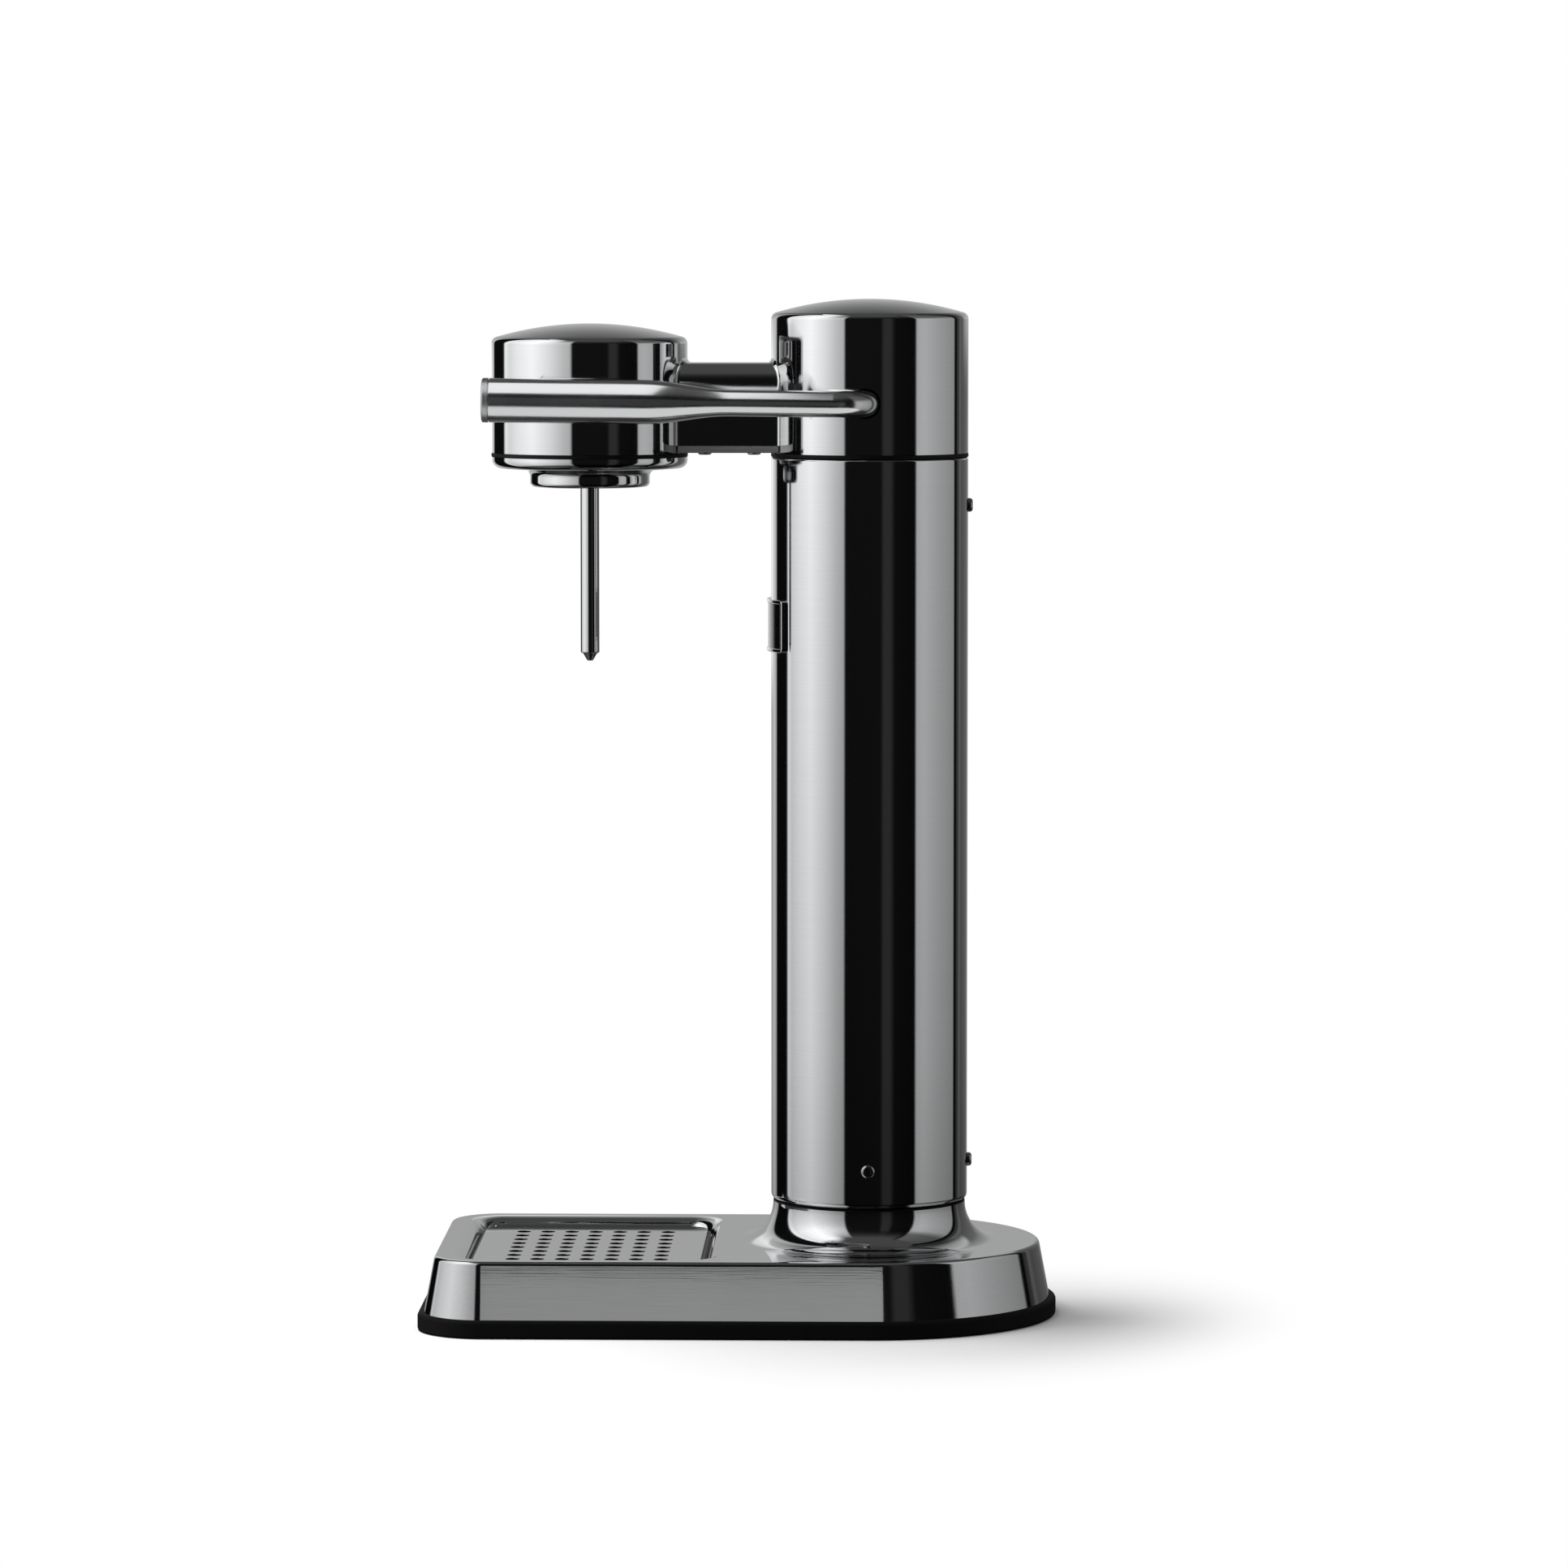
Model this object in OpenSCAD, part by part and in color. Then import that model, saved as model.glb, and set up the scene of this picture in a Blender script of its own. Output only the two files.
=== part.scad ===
// Sparkling water maker: a steel column on a long foot, with an overhanging head and a pull-down lever.
// The origin is under the middle of the foot, +Z is up, the head points along -X and the lever is on -Y.

/* [Foot and base] */
// Width of the deck in front of the tray recess, with its ring
front_strip = 15.7; // [13:0.1:24]
// Width of the rubber foot ring
foot_w = 153; // [146:1:165]
// Height of the rubber foot ring
foot_h = 7.2; // [6.6:0.2:10]
// Radius of the foot ring's front corners
foot_corner_r = 27; // [22:1:40]
// How far the steel skirt stands back from the ring at the bottom
skirt_inset = 2.7; // [2:0.1:4]
// How far the steel skirt leans in on its way up
skirt_taper = 4; // [1:0.5:7]
// Height of the base deck above the table
base_h = 30.2; // [28:0.2:40]
// Sheet thickness of the base shell
sheet = 1.5; // [1:0.1:2]
// Height of the flared neck above the deck
neck_h = 16.2; // [14:0.2:24]
// Radius of the concave flare at the foot of the neck
flare_r = 15.5; // [10:0.5:15.5]

/* [Drip tray] */
// Length of the tray recess across the base
recess_l = 122; // [112:1:126]
// Width of the tray recess, front to back
recess_w = 104; // [96:1:106]
// Corner radius of the recess at the deck
recess_corner_r = 14; // [12:1:20]
// Width of the sloping lip seen from above
lip_w = 4.3; // [3:0.1:6]
// Depth of the perforated plate below the deck
plate_drop = 3.4; // [2.4:0.1:5]
// Gap between the perforated plate and the lip, wide enough for a fingernail
plate_gap = 1.6; // [0.8:0.1:2.5]
// Thickness of the perforated plate
plate_t = 1.2; // [1:0.1:2]
// Diameter of the drain holes
hole_d = 5.8; // [4:0.1:7]
// Spacing of the drain holes, front to back
hole_pitch_x = 10; // [8:0.5:14]
// Spacing of the drain holes, side to side
hole_pitch_y = 11; // [8:0.5:14]
// Number of drain holes, front to back
holes_x = 7; // [5:1:8]
// Number of drain holes, side to side
holes_y = 8; // [5:1:9]
// Depth of the drip pan below the plate
pan_depth = 15; // [8:0.5:16]
// Wall of the drip pan
pan_wall = 1.2; // [1:0.1:2]

/* [Column] */
// Outer diameter of the column tube
column_d = 80; // [78:0.5:84]
// Wall of the column tube
column_wall = 1.5; // [1:0.1:2]
// Length of the column tube
column_h = 303; // [295:1:320]
// Thickness of the black gasket under the upper housing
housing_gasket_t = 1.7; // [1:0.1:3]
// Thickness of the black gasket under the column tube
neck_gasket_t = 0.6; // [0.4:0.1:1.5]
// Height of the lower fixing screws above the table
lower_screw_z = 63; // [58:0.5:68]
// Distance of the upper fixing screw below the top of the tube
upper_screw_drop = 19.5; // [17:0.5:21]

/* [Badge plate] */
// Angle that the badge plate wraps round the column
badge_angle = 65; // [40:1:90]
// Height of the badge plate
badge_h = 21.5; // [15:0.5:30]
// Height of the badge plate's middle above the table
badge_z = 283.3; // [200:1:320]
// Thickness of the badge plate's floor
badge_t = 1; // [0.6:0.1:1.5]
// Height of the badge plate's rim above its floor
badge_rim_h = 0.8; // [0.4:0.1:1.2]

/* [Upper housing] */
// Distance from the column axis forward to the head axis
head_reach = 113.8; // [108:0.5:125]
// Height of the column cap above its gasket
cap_h = 62.3; // [58:0.5:70]
// Height of the head shell above its gasket
head_h = 52.3; // [46:0.5:58]
// Diameter of the head
head_d = 79.6; // [77:0.2:84]
// Radius of the shallow domes
dome_r = 135; // [110:5:200]
// Radius of the round shoulder under each dome
shoulder_r = 2.8; // [2:0.1:5]
// Wall of the upper housing
housing_wall = 2.2; // [1.6:0.1:3]
// Width of the bridge
bridge_w = 34; // [30:1:40]
// Height of the bridge's top above the housing gasket
bridge_top = 36.5; // [32:0.5:42]
// Height of the bridge's open underside above the housing gasket
bridge_bottom = 3.2; // [2.8:0.1:5]
// Radius along the bridge's top edges
bridge_edge_r = 7.5; // [4:0.5:11]
// Radius of the fillets between the bridge and the round housings
bridge_fillet_r = 4; // [2:0.5:8]

/* [Lever] */
// Height of the lever pivot above the housing gasket
pivot_rise = 20.7; // [20:0.1:24]
// Distance of the lever pivot in front of the column axis
pivot_x = 1.3; // [0:0.1:2]
// Diameter of the lever's thin end and shaft
shaft_d = 10.6; // [9:0.2:11.4]
// Diameter of the lever's grip
grip_d = 17.8; // [15:0.2:20]
// Distance from the pivot to the grip's end
lever_l = 152.7; // [135:0.5:170]
// Distance from the column axis out to the grip's axis
lever_offset = 53.5; // [52:0.5:60]
// Radius of the lever's bend on its centre line
lever_bend_r = 13; // [11:0.5:13.5]
// Distance from the pivot to the start of the swage
swage_start = 53.6; // [48:0.5:70]
// Length of the swage between thin end and grip
swage_l = 35.6; // [20:0.5:45]
// Angle of the lever above level when it rests
lever_tilt = 0.64; // [0:0.02:2]
// Travel of the lever, down from rest
lever_sweep = 45; // [30:1:50]
// Travel of the gas valve over that sweep
valve_stroke = 3.2; // [2:0.1:3.6]
// Radius of the lever cam at rest
cam_r = 7; // [6.6:0.1:7.4]
// Width of the lever cam
cam_w = 12; // [8:0.5:14]

/* [Bottle head] */
// Diameter of the bottle collar
collar_d = 48.8; // [46:0.2:54]
// Height of the bottle collar's lower edge below the head gasket
collar_drop = 12.2; // [11:0.2:16]
// Inner diameter of the threaded bottle socket
socket_d = 37; // [34:0.5:38]
// Diameter of the carbonation tube
tube_d = 7.7; // [6.5:0.1:9]
// Bore of the carbonation tube
tube_bore = 5.3; // [4:0.1:5.6]
// Height of the tube's straight end above the table
tube_end_z = 270; // [250:1:285]
// Length of the tube's pointed nozzle
tip_l = 3; // [2:0.2:5]

/* [Gas supply] */
// Diameter of the gas cylinder
cylinder_d = 60; // [56:0.5:60.5]
// Height of the gas cylinder's foot above the table
cylinder_rise = 2.5; // [1.5:0.1:4]
// Diameter of the cylinder valve's thread
valve_thread_d = 21; // [19:0.5:22]
// Diameter of the valve plunger
plunger_d = 6; // [5:0.1:6.4]
// Diameter of the gas pipe
pipe_d = 5; // [4:0.2:5.6]
// Radius of the gas pipe's bend
pipe_bend_r = 7; // [6:0.5:8]
// Distance of the gas pipe from the middle plane
pipe_y = 8; // [7.6:0.1:8.6]

/* [Screws and clearances] */
// Diameter of the small screws' heads
screw_head_d = 5.6; // [5:0.1:6.4]
// Height of the small screws' heads
screw_head_h = 1.9; // [1.4:0.1:2.2]
// Diameter of the small screws' threads
screw_d = 3; // [2.4:0.1:3.2]
// Radial clearance of a piece that turns or slides
run_gap = 0.05; // [0.02:0.01:0.1]
// Clearance of a piece that is fitted and stays
fit_gap = 0.02; // [0.01:0.01:0.05]
// Clearance of a piece that lifts out
lift_gap = 0.3; // [0.2:0.05:0.5]
// Radial clearance of a screw in a plain hole
screw_gap = 0.2; // [0.1:0.05:0.3]

/* [Hidden] */
$fn = 96;

// Colours of the finishes
steel = "silver";
black = "#1b1b1d";
brass = "#b8964e";

// Places along the machine
foot_l = front_strip + recess_w / 2 + head_reach + foot_w / 2;
column_r = column_d / 2;
column_bore_r = column_r - column_wall;
col_x = foot_l / 2 - foot_w / 2;
head_x = col_x - head_reach;
head_r = head_d / 2;
corner_y = foot_w / 2 - foot_corner_r;
corner_x = foot_corner_r - foot_l / 2;

// Heights from the table up
neck_z = base_h + neck_h;
tube_z = neck_z + neck_gasket_t;
tube_top = tube_z + column_h;
housing_z = tube_top + housing_gasket_t;
cap_top = housing_z + cap_h;
head_top = housing_z + head_h;
pivot_z = housing_z + pivot_rise;
bridge_z = housing_z + bridge_bottom;
bridge_top_z = housing_z + bridge_top;
collar_z = tube_top - collar_drop;
plate_z = base_h - plate_drop;

// Base skirt radii, measured from the column axis
skirt_low_r = foot_w / 2 - skirt_inset;
skirt_top_r = skirt_low_r - skirt_taper;
deck_edge_r = 2;
deck_strip = 6;
lip_round = 1.5;
ring_w = 7;
ring_in_r = foot_w / 2 - ring_w;
groove_depth = 2;
base_plate_t = 2.5;
base_plate_z = 2.8;
base_plate_r = ring_in_r + groove_depth - fit_gap;
cylinder_hole_r = cylinder_d / 2 + 1;
boss_r = 4.5;

// Neck, column screws and the ring inside the foot of the column
neck_r = column_r - 0.8;
neck_flare_r = min(flare_r, neck_h - 0.5, head_reach - recess_w / 2 - lip_round - neck_r - 1);
neck_bore_r = neck_r - 1.6;
tube_edge_r = 2.5;
tube_lip_r = column_r - tube_edge_r;
ring_r = tube_lip_r - 0.1;
ring_top_z = lower_screw_z + 11;
ring_bore_r = cylinder_hole_r;
nut_h = 7;
nut_r = ring_r + 5.5;
nut_z = base_h - sheet - nut_h;
ring_tail = 1.5;
upper_screw_z = tube_top - upper_screw_drop;
screw_l = 8;

// Upper frame: a skirt inside the tube, a deck and two cheeks for the lever shaft
frame_r = column_bore_r - 0.1;
frame_wall = 4.2;
frame_bore_r = frame_r - frame_wall;
frame_skirt_z = upper_screw_z - 9;
frame_deck_t = 7;
frame_top_z = housing_z + 1.3;
frame_top_r = column_r - housing_wall - 0.2;
cheek_in = 24;
cheek_out = 30;
cheek_r = 11;
housing_boss_xy = 22;
bridge_screw_in = 7;
bush_wall = 1.7;
bush_flange_t = 1.2;

// Valve parts on the column axis
valve_body_r = 16;
valve_flange_t = 2.5;
valve_flange_r = 22;
valve_screw_r = 19;
valve_boss_r = 8.4;
valve_boss_h = 7;
valve_seat_z = frame_top_z - 3.5;
thread_depth = 12;
seal_t = 1.5;
cylinder_top_z = valve_seat_z - seal_t;
plunger_top_z = pivot_z - cam_r - run_gap;
button_t = 1.6;
button_r = 7.2;
spring_pocket_r = 5.9;
spring_pocket_z = frame_top_z - 0.5;
seal_wire = 1.6;
plunger_spring_z = spring_pocket_z + seal_wire + 0.1;
cylinder_pin_top_z = cylinder_top_z - 1;
pin_bore_depth = 3 + valve_stroke;
cylinder_wall = 2.2;
cylinder_neck_r = 15;
cylinder_neck_z = valve_seat_z - thread_depth - 6;
cylinder_shoulder_r = 22;
cylinder_shoulder_z = cylinder_neck_z - cylinder_shoulder_r + 1;
cylinder_foot_r = 6;
valve_stem_r = 9;
valve_stem_l = 8;
wrench_flange_t = 5;
lever_x = col_x - pivot_x;
cam_pin_d = 3;
cam_pin_l = 2 * cam_r - 0.2;
clip_t = 1;
clip_depth = 0.8;
clip_y = cheek_out + bush_flange_t + 0.25;
end_cap_l = 3;

// Gas pipe route
pipe_x = col_x - 15;
pipe_run_z = frame_top_z + 11;
pipe_bore = pipe_d - 2;
port_h = 4;
port_angle = atan2(pipe_y, pipe_x - col_x);
port_reach = norm([pipe_x - col_x, pipe_y]);
passage_tilt = atan2(frame_top_z + 1 - valve_seat_z - 0.8, port_reach);
nut_l = 7;
nut_wall = 2.5;

// Bottle head
block_z = tube_top + 4;
block_h = 14;
block_r = 20;
block_face_x = head_x + block_r + 1;
ear_r = 27;
ear_w = 6;
ear_z = block_z + 9;
flange_edge_r = 3.4;
flange_low_z = tube_top - 5.4;
cover_floor_z = flange_low_z + 2.4;
socket_wall_r = collar_d / 2 - 2.2;
socket_low_z = collar_z + 0.8;
lug_count = 3;
relief_x = head_x - 6;
relief_y = 9.5;
relief_r = 5;
relief_h = 15;
relief_floor = 1;
relief_top_wall = 1.2;
poppet_h = 2.5;
seat_depth = 5;
passage_r = 1.2;
pipe_end = 7;
tube_socket_h = 8;

// Points along an arc, for profiles
function arc(c, r, a0, a1, n = 8) =
    [for (i = [0:n]) c + r * [cos(a0 + (a1 - a0) * i / n), sin(a0 + (a1 - a0) * i / n)]];

// A plain cylinder that starts at one height
module cylinder_at(z, h, r) {
    translate([0, 0, z]) cylinder(r = r, h = h);
}

// A straight round tube or ring between two heights
module tube(r_out, r_in, z0, z1) {
    translate([0, 0, z0])
        difference() {
            cylinder(r = r_out, h = z1 - z0);
            translate([0, 0, -1]) cylinder(r = r_in, h = z1 - z0 + 2);
        }
}

// A button-head screw with a hex socket: its head's seat is at the origin and its thread runs down -Z
module button_screw(d, l, head_d = screw_head_d, head_h = screw_head_h) {
    edge_r = head_h * 0.65;
    difference() {
        union() {
            translate([0, 0, -l]) cylinder(d = d, h = l);
            rotate_extrude()
                polygon(concat(
                    [[0, 0], [head_d / 2, 0]],
                    arc([head_d / 2 - edge_r, head_h - edge_r], edge_r, 0, 90, 6),
                    [[0, head_h]]));
        }
        translate([0, 0, head_h * 0.35]) cylinder(d = head_d * 0.5, h = head_h, $fn = 6);
    }
}

// The base's outline at one distance from the column axis: a round back end and two front corners
module base_outline(r) {
    r_front = r - corner_y;
    translate([col_x, 0]) circle(r);
    translate([corner_x, -r]) square([col_x - corner_x, 2 * r]);
    translate([corner_x - r_front, -corner_y]) square([r_front + 1, 2 * corner_y]);
    for (side = [-1, 1])
        translate([corner_x, side * corner_y]) circle(r_front);
}

// Carries a profile, drawn as distance from the column axis and height, all round the base
module around_base() {
    translate([col_x, 0, 0]) rotate([0, 0, -90]) rotate_extrude(angle = 180) children();
    for (side = [0, 1])
        mirror([0, side, 0]) {
            translate([corner_x, 0, 0]) rotate([90, 0, 90]) linear_extrude(col_x - corner_x) children();
            translate([corner_x, corner_y, 0]) rotate([0, 0, 90])
                rotate_extrude(angle = 90) translate([-corner_y, 0]) children();
        }
    translate([corner_x, corner_y, 0]) rotate([90, 0, 0]) linear_extrude(2 * corner_y)
        mirror([1, 0]) translate([-corner_y, 0]) children();
}

// A rounded rectangle in the tray recess, inset from the recess edge
module recess_outline(inset) {
    w = recess_w - 2 * inset;
    l = recess_l - 2 * inset;
    r = recess_corner_r - inset;
    translate([head_x, 0]) {
        square([w - 2 * r, l], center = true);
        square([w, l - 2 * r], center = true);
        for (sx = [-1, 1], sy = [-1, 1])
            translate([sx * (w / 2 - r), sy * (l / 2 - r)]) circle(r);
    }
}

// Carries a profile, drawn as distance from the corner centre and height, round the tray recess
module around_recess() {
    cx = recess_w / 2 - recess_corner_r;
    cy = recess_l / 2 - recess_corner_r;
    translate([head_x, 0, 0]) {
        for (q = [0:3])
            translate([(q == 0 || q == 3 ? 1 : -1) * cx, (q < 2 ? 1 : -1) * cy, 0])
                rotate([0, 0, 90 * q]) rotate_extrude(angle = 90) children();
        for (side = [0, 1]) {
            mirror([side, 0, 0]) translate([cx, cy, 0]) rotate([90, 0, 0]) linear_extrude(2 * cy) children();
            mirror([0, side, 0]) translate([-cx, cy, 0]) rotate([90, 0, 90]) linear_extrude(2 * cx) children();
        }
    }
}

// Insets of the pieces that sit in the recess, measured from its edge at the deck
ledge_w = 3.4;
lip_low_z = plate_z - plate_t;
pan_rim_t = 1;
ledge_z = lip_low_z - pan_rim_t;
pan_rim_inset = lip_w + lift_gap;
pan_inset = lip_w + ledge_w + lift_gap;
plate_inset = lip_w + plate_gap;
opening_inset = lip_w + ledge_w;

module base_shell() {
    lip_r = recess_corner_r - lip_w;
    ledge_r = lip_r - ledge_w;
    color(steel) {
        // side skirt with a round upper edge, and the first strip of the deck
        around_base()
            polygon(concat(
                [[skirt_low_r, foot_h]],
                arc([skirt_top_r - deck_edge_r, base_h - deck_edge_r], deck_edge_r, 5, 90, 6),
                [[skirt_top_r - deck_strip, base_h], [skirt_top_r - deck_strip, base_h - sheet]],
                [[skirt_top_r - deck_edge_r, base_h - sheet], [skirt_low_r - sheet, foot_h]]));
        // deck, open over the tray recess and down the column
        translate([0, 0, base_h - sheet]) linear_extrude(sheet)
            difference() {
                base_outline(skirt_top_r - deck_strip);
                recess_outline(-lip_round);
                translate([col_x, 0]) circle(neck_bore_r);
            }
        // sloping lip, short wall and ledge round the recess
        around_recess()
            polygon(concat(
                [[recess_corner_r + lip_round, base_h - sheet], [recess_corner_r + lip_round, base_h]],
                arc([recess_corner_r + lip_round, base_h - 2], 2, 90, 140, 4),
                [[lip_r, lip_low_z], [lip_r, ledge_z], [ledge_r, ledge_z], [ledge_r, ledge_z - pan_wall]],
                [[lip_r + sheet, ledge_z - pan_wall], [lip_r + sheet, lip_low_z]]));
        // flared neck under the column
        translate([col_x, 0, 0]) rotate_extrude()
            polygon(concat(
                [[neck_bore_r, base_h - sheet], [neck_r + neck_flare_r, base_h - sheet]],
                arc([neck_r + neck_flare_r, base_h + neck_flare_r], neck_flare_r, 270, 180, 16),
                [[neck_r, neck_z], [neck_bore_r, neck_z]]));
        // bosses for the base plate's screws
        for (p = boss_places)
            translate([p[0], p[1], base_plate_z + base_plate_t])
                difference() {
                    cylinder(r = boss_r, h = base_h - sheet - base_plate_z - base_plate_t);
                    translate([0, 0, -1]) cylinder(d = screw_d + 2 * fit_gap, h = screw_l + 2);
                }
    }
}

// Places of the base plate's screws: two on each side close to the skirt, and one at the back
boss_inset = skirt_top_r - boss_r - 0.3;
front_boss_x = head_x - recess_w / 2 + recess_corner_r + boss_r;
side_boss_x = col_x - 3 * boss_r;
boss_places = [
    [front_boss_x, boss_inset], [front_boss_x, -boss_inset],
    [side_boss_x, boss_inset], [side_boss_x, -boss_inset],
    [col_x + boss_inset, 0]
];

module foot_ring() {
    color(black)
        around_base()
            polygon(concat(
                [[ring_in_r, 0], [foot_w / 2 - 1, 0]],
                arc([foot_w / 2 - 1.5, foot_h - 1.5], 1.5, 0, 90, 6),
                [[ring_in_r, foot_h], [ring_in_r, base_plate_z + base_plate_t + fit_gap]],
                [[ring_in_r + groove_depth, base_plate_z + base_plate_t + fit_gap]],
                [[ring_in_r + groove_depth, base_plate_z - fit_gap], [ring_in_r, base_plate_z - fit_gap]]));
}

module base_plate() {
    color(black) {
        translate([0, 0, base_plate_z]) linear_extrude(base_plate_t)
            difference() {
                base_outline(base_plate_r);
                translate([col_x, 0]) circle(cylinder_hole_r);
                for (p = boss_places)
                    translate(p) circle(d = screw_d + 2 * screw_gap);
            }
        // guide collar that steers the cylinder into the column
        translate([col_x, 0, 0])
            tube(cylinder_hole_r + 2, cylinder_hole_r, base_plate_z + base_plate_t - 0.5,
                nut_z - ring_tail - lift_gap);
    }
}

module base_screws() {
    color(steel)
        for (p = boss_places)
            translate([p[0], p[1], base_plate_z]) mirror([0, 0, 1])
                button_screw(screw_d, screw_l);
}

module drip_tray() {
    floor_z = plate_z - plate_t - pan_depth;
    color(black) {
        // rim that hangs on the recess's ledge
        translate([0, 0, ledge_z]) linear_extrude(pan_rim_t)
            difference() {
                recess_outline(pan_rim_inset);
                recess_outline(pan_inset + pan_wall);
            }
        // walls
        translate([0, 0, floor_z]) linear_extrude(ledge_z - floor_z + 0.5)
            difference() {
                recess_outline(pan_inset);
                recess_outline(pan_inset + pan_wall);
            }
        // floor
        translate([0, 0, floor_z - pan_wall]) linear_extrude(pan_wall)
            recess_outline(pan_inset);
    }
}

module drip_plate() {
    color(steel)
        translate([0, 0, plate_z - plate_t]) linear_extrude(plate_t)
            difference() {
                recess_outline(plate_inset);
                for (i = [0:holes_x - 1], j = [0:holes_y - 1])
                    translate([head_x + (i - (holes_x - 1) / 2) * hole_pitch_x,
                            (j - (holes_y - 1) / 2) * hole_pitch_y])
                        circle(d = hole_d);
            }
}

module neck_gasket() {
    color(black)
        translate([col_x, 0, 0]) tube(column_r - 1, ring_r + run_gap, neck_z, tube_z);
}

// Ring inside the foot of the column: it passes through the neck and is drawn down by a nut
module lower_ring() {
    color(black)
        translate([col_x, 0, 0])
            difference() {
                union() {
                    tube(ring_r, ring_bore_r, nut_z - ring_tail, tube_z + tube_edge_r + 1);
                    tube(column_bore_r - fit_gap, ring_bore_r, tube_z + tube_edge_r, ring_top_z);
                }
                for (a = [0, 90, -90])
                    rotate([0, 0, a]) translate([ring_bore_r - 1, 0, lower_screw_z]) rotate([0, 90, 0])
                        cylinder(d = screw_d + 2 * fit_gap, h = 20);
            }
}

module ring_nut() {
    color(black)
        translate([col_x, 0, nut_z])
            difference() {
                cylinder(r = nut_r, h = nut_h);
                translate([0, 0, -1]) cylinder(r = ring_r + fit_gap, h = nut_h + 2);
                // notches for a pin wrench
                for (a = [0:60:300])
                    rotate([0, 0, a]) translate([nut_r - 2, -3, -1]) cube([4, 6, 4]);
            }
}

module column_tube() {
    color(steel)
        translate([col_x, 0, 0])
            difference() {
                rotate_extrude()
                    polygon(concat(
                        arc([column_r - tube_edge_r, tube_z + tube_edge_r], tube_edge_r, -90, 0, 8),
                        arc([column_r - 1, tube_top - 1], 1, 0, 90, 4),
                        [[column_bore_r, tube_top]],
                        arc([tube_lip_r, tube_z + tube_edge_r], tube_edge_r - column_wall, 0, -90, 4)));
                for (a = [0, 90, -90])
                    rotate([0, 0, a]) translate([0, 0, lower_screw_z]) rotate([0, 90, 0])
                        cylinder(d = screw_d + 2 * screw_gap, h = column_r + 5);
                translate([0, 0, upper_screw_z]) rotate([0, 90, 0])
                    cylinder(d = screw_d + 2 * screw_gap, h = column_r + 5);
            }
}

module column_screw(a, z) {
    translate([col_x, 0, z]) rotate([0, 0, a]) translate([column_r, 0, 0]) rotate([0, 90, 0])
        button_screw(screw_d, column_r - ring_bore_r - 1);
}

module rear_screws() {
    color(steel) {
        column_screw(0, lower_screw_z);
        column_screw(0, upper_screw_z);
    }
}

module side_screws() {
    color(steel) {
        column_screw(-90, lower_screw_z);
        column_screw(90, lower_screw_z);
    }
}

// Curved plate on the front of the column, bare inside its raised rim
module badge_plate() {
    rim = 1.6;
    rim_angle = rim / column_r * 180 / PI;
    color(steel)
        translate([col_x, 0, badge_z - badge_h / 2]) rotate([0, 0, 180 - badge_angle / 2]) {
            rotate_extrude(angle = badge_angle)
                translate([column_r, 0]) square([badge_t, badge_h]);
            for (z = [0, badge_h - rim])
                rotate_extrude(angle = badge_angle)
                    translate([column_r + badge_t - 0.2, z]) square([badge_rim_h + 0.2, rim]);
            for (a = [0, badge_angle - rim_angle])
                rotate([0, 0, a]) rotate_extrude(angle = rim_angle)
                    translate([column_r + badge_t - 0.2, 0]) square([badge_rim_h + 0.2, badge_h]);
        }
}

module column_gasket() {
    color(black)
        translate([col_x, 0, 0]) tube(column_r + 0.1, frame_r + run_gap, tube_top, housing_z);
}

module head_gasket() {
    color(black)
        translate([head_x, 0, 0]) tube(head_r + 0.1, head_r - housing_wall, tube_top, housing_z);
}

module upper_frame() {
    color("dimgray")
        translate([col_x, 0, 0])
            difference() {
                union() {
                    // skirt inside the column tube
                    tube(frame_r, frame_bore_r, frame_skirt_z, tube_top);
                    // deck across the top
                    translate([0, 0, frame_top_z - frame_deck_t]) cylinder(r = frame_top_r, h = frame_deck_t);
                    // cheeks for the lever shaft
                    for (side = [0, 1])
                        mirror([0, side, 0])
                            translate([-pivot_x, cheek_out, 0]) rotate([90, 0, 0])
                                linear_extrude(cheek_out - cheek_in) {
                                    translate([0, pivot_z]) circle(cheek_r);
                                    translate([-cheek_r, frame_top_z - 1])
                                        square([2 * cheek_r, pivot_z - frame_top_z + 1]);
                                }
                }
                // seat of the valve housing, with threads for its screws
                cylinder_at(frame_top_z - frame_deck_t - 1, frame_deck_t + 2, valve_body_r + fit_gap);
                for (p = valve_screw_places)
                    translate([p[0], p[1], 0])
                        cylinder_at(frame_top_z - frame_deck_t - 1, frame_deck_t + 2, screw_d / 2 + fit_gap);
                // bores of the lever bushes
                translate([-pivot_x, cheek_out + 1, pivot_z]) rotate([90, 0, 0])
                    cylinder(r = shaft_d / 2 + run_gap + bush_wall, h = 2 * cheek_out + 2);
                // holes of the housing screws
                for (p = housing_boss_places)
                    translate([p[0], p[1], frame_top_z - frame_deck_t - 1])
                        cylinder(d = screw_d + 2 * screw_gap, h = frame_deck_t + 2);
                // hole of the rear screw
                translate([frame_bore_r - 1, 0, upper_screw_z]) rotate([0, 90, 0])
                    cylinder(d = screw_d + 2 * fit_gap, h = 20);
            }
}

// Places of the housing screws, from the column axis
housing_boss_places = [for (sx = [-1, 1], sy = [-1, 1]) [sx * housing_boss_xy, sy * housing_boss_xy]];

// Places of the valve housing's screws, from the column axis
valve_screw_places = [for (a = [0:90:270]) valve_screw_r * [cos(a), sin(a)]];

// Places of the two screws under the bridge
bridge_screw_places = [[head_x + head_r + bridge_screw_in, 0], [col_x - column_r - bridge_screw_in, 0]];

// Places of the nozzle screws, from the head axis
nozzle_screw_places = [for (a = [60, 180, 300]) ear_r * [cos(a), sin(a)]];

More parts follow.
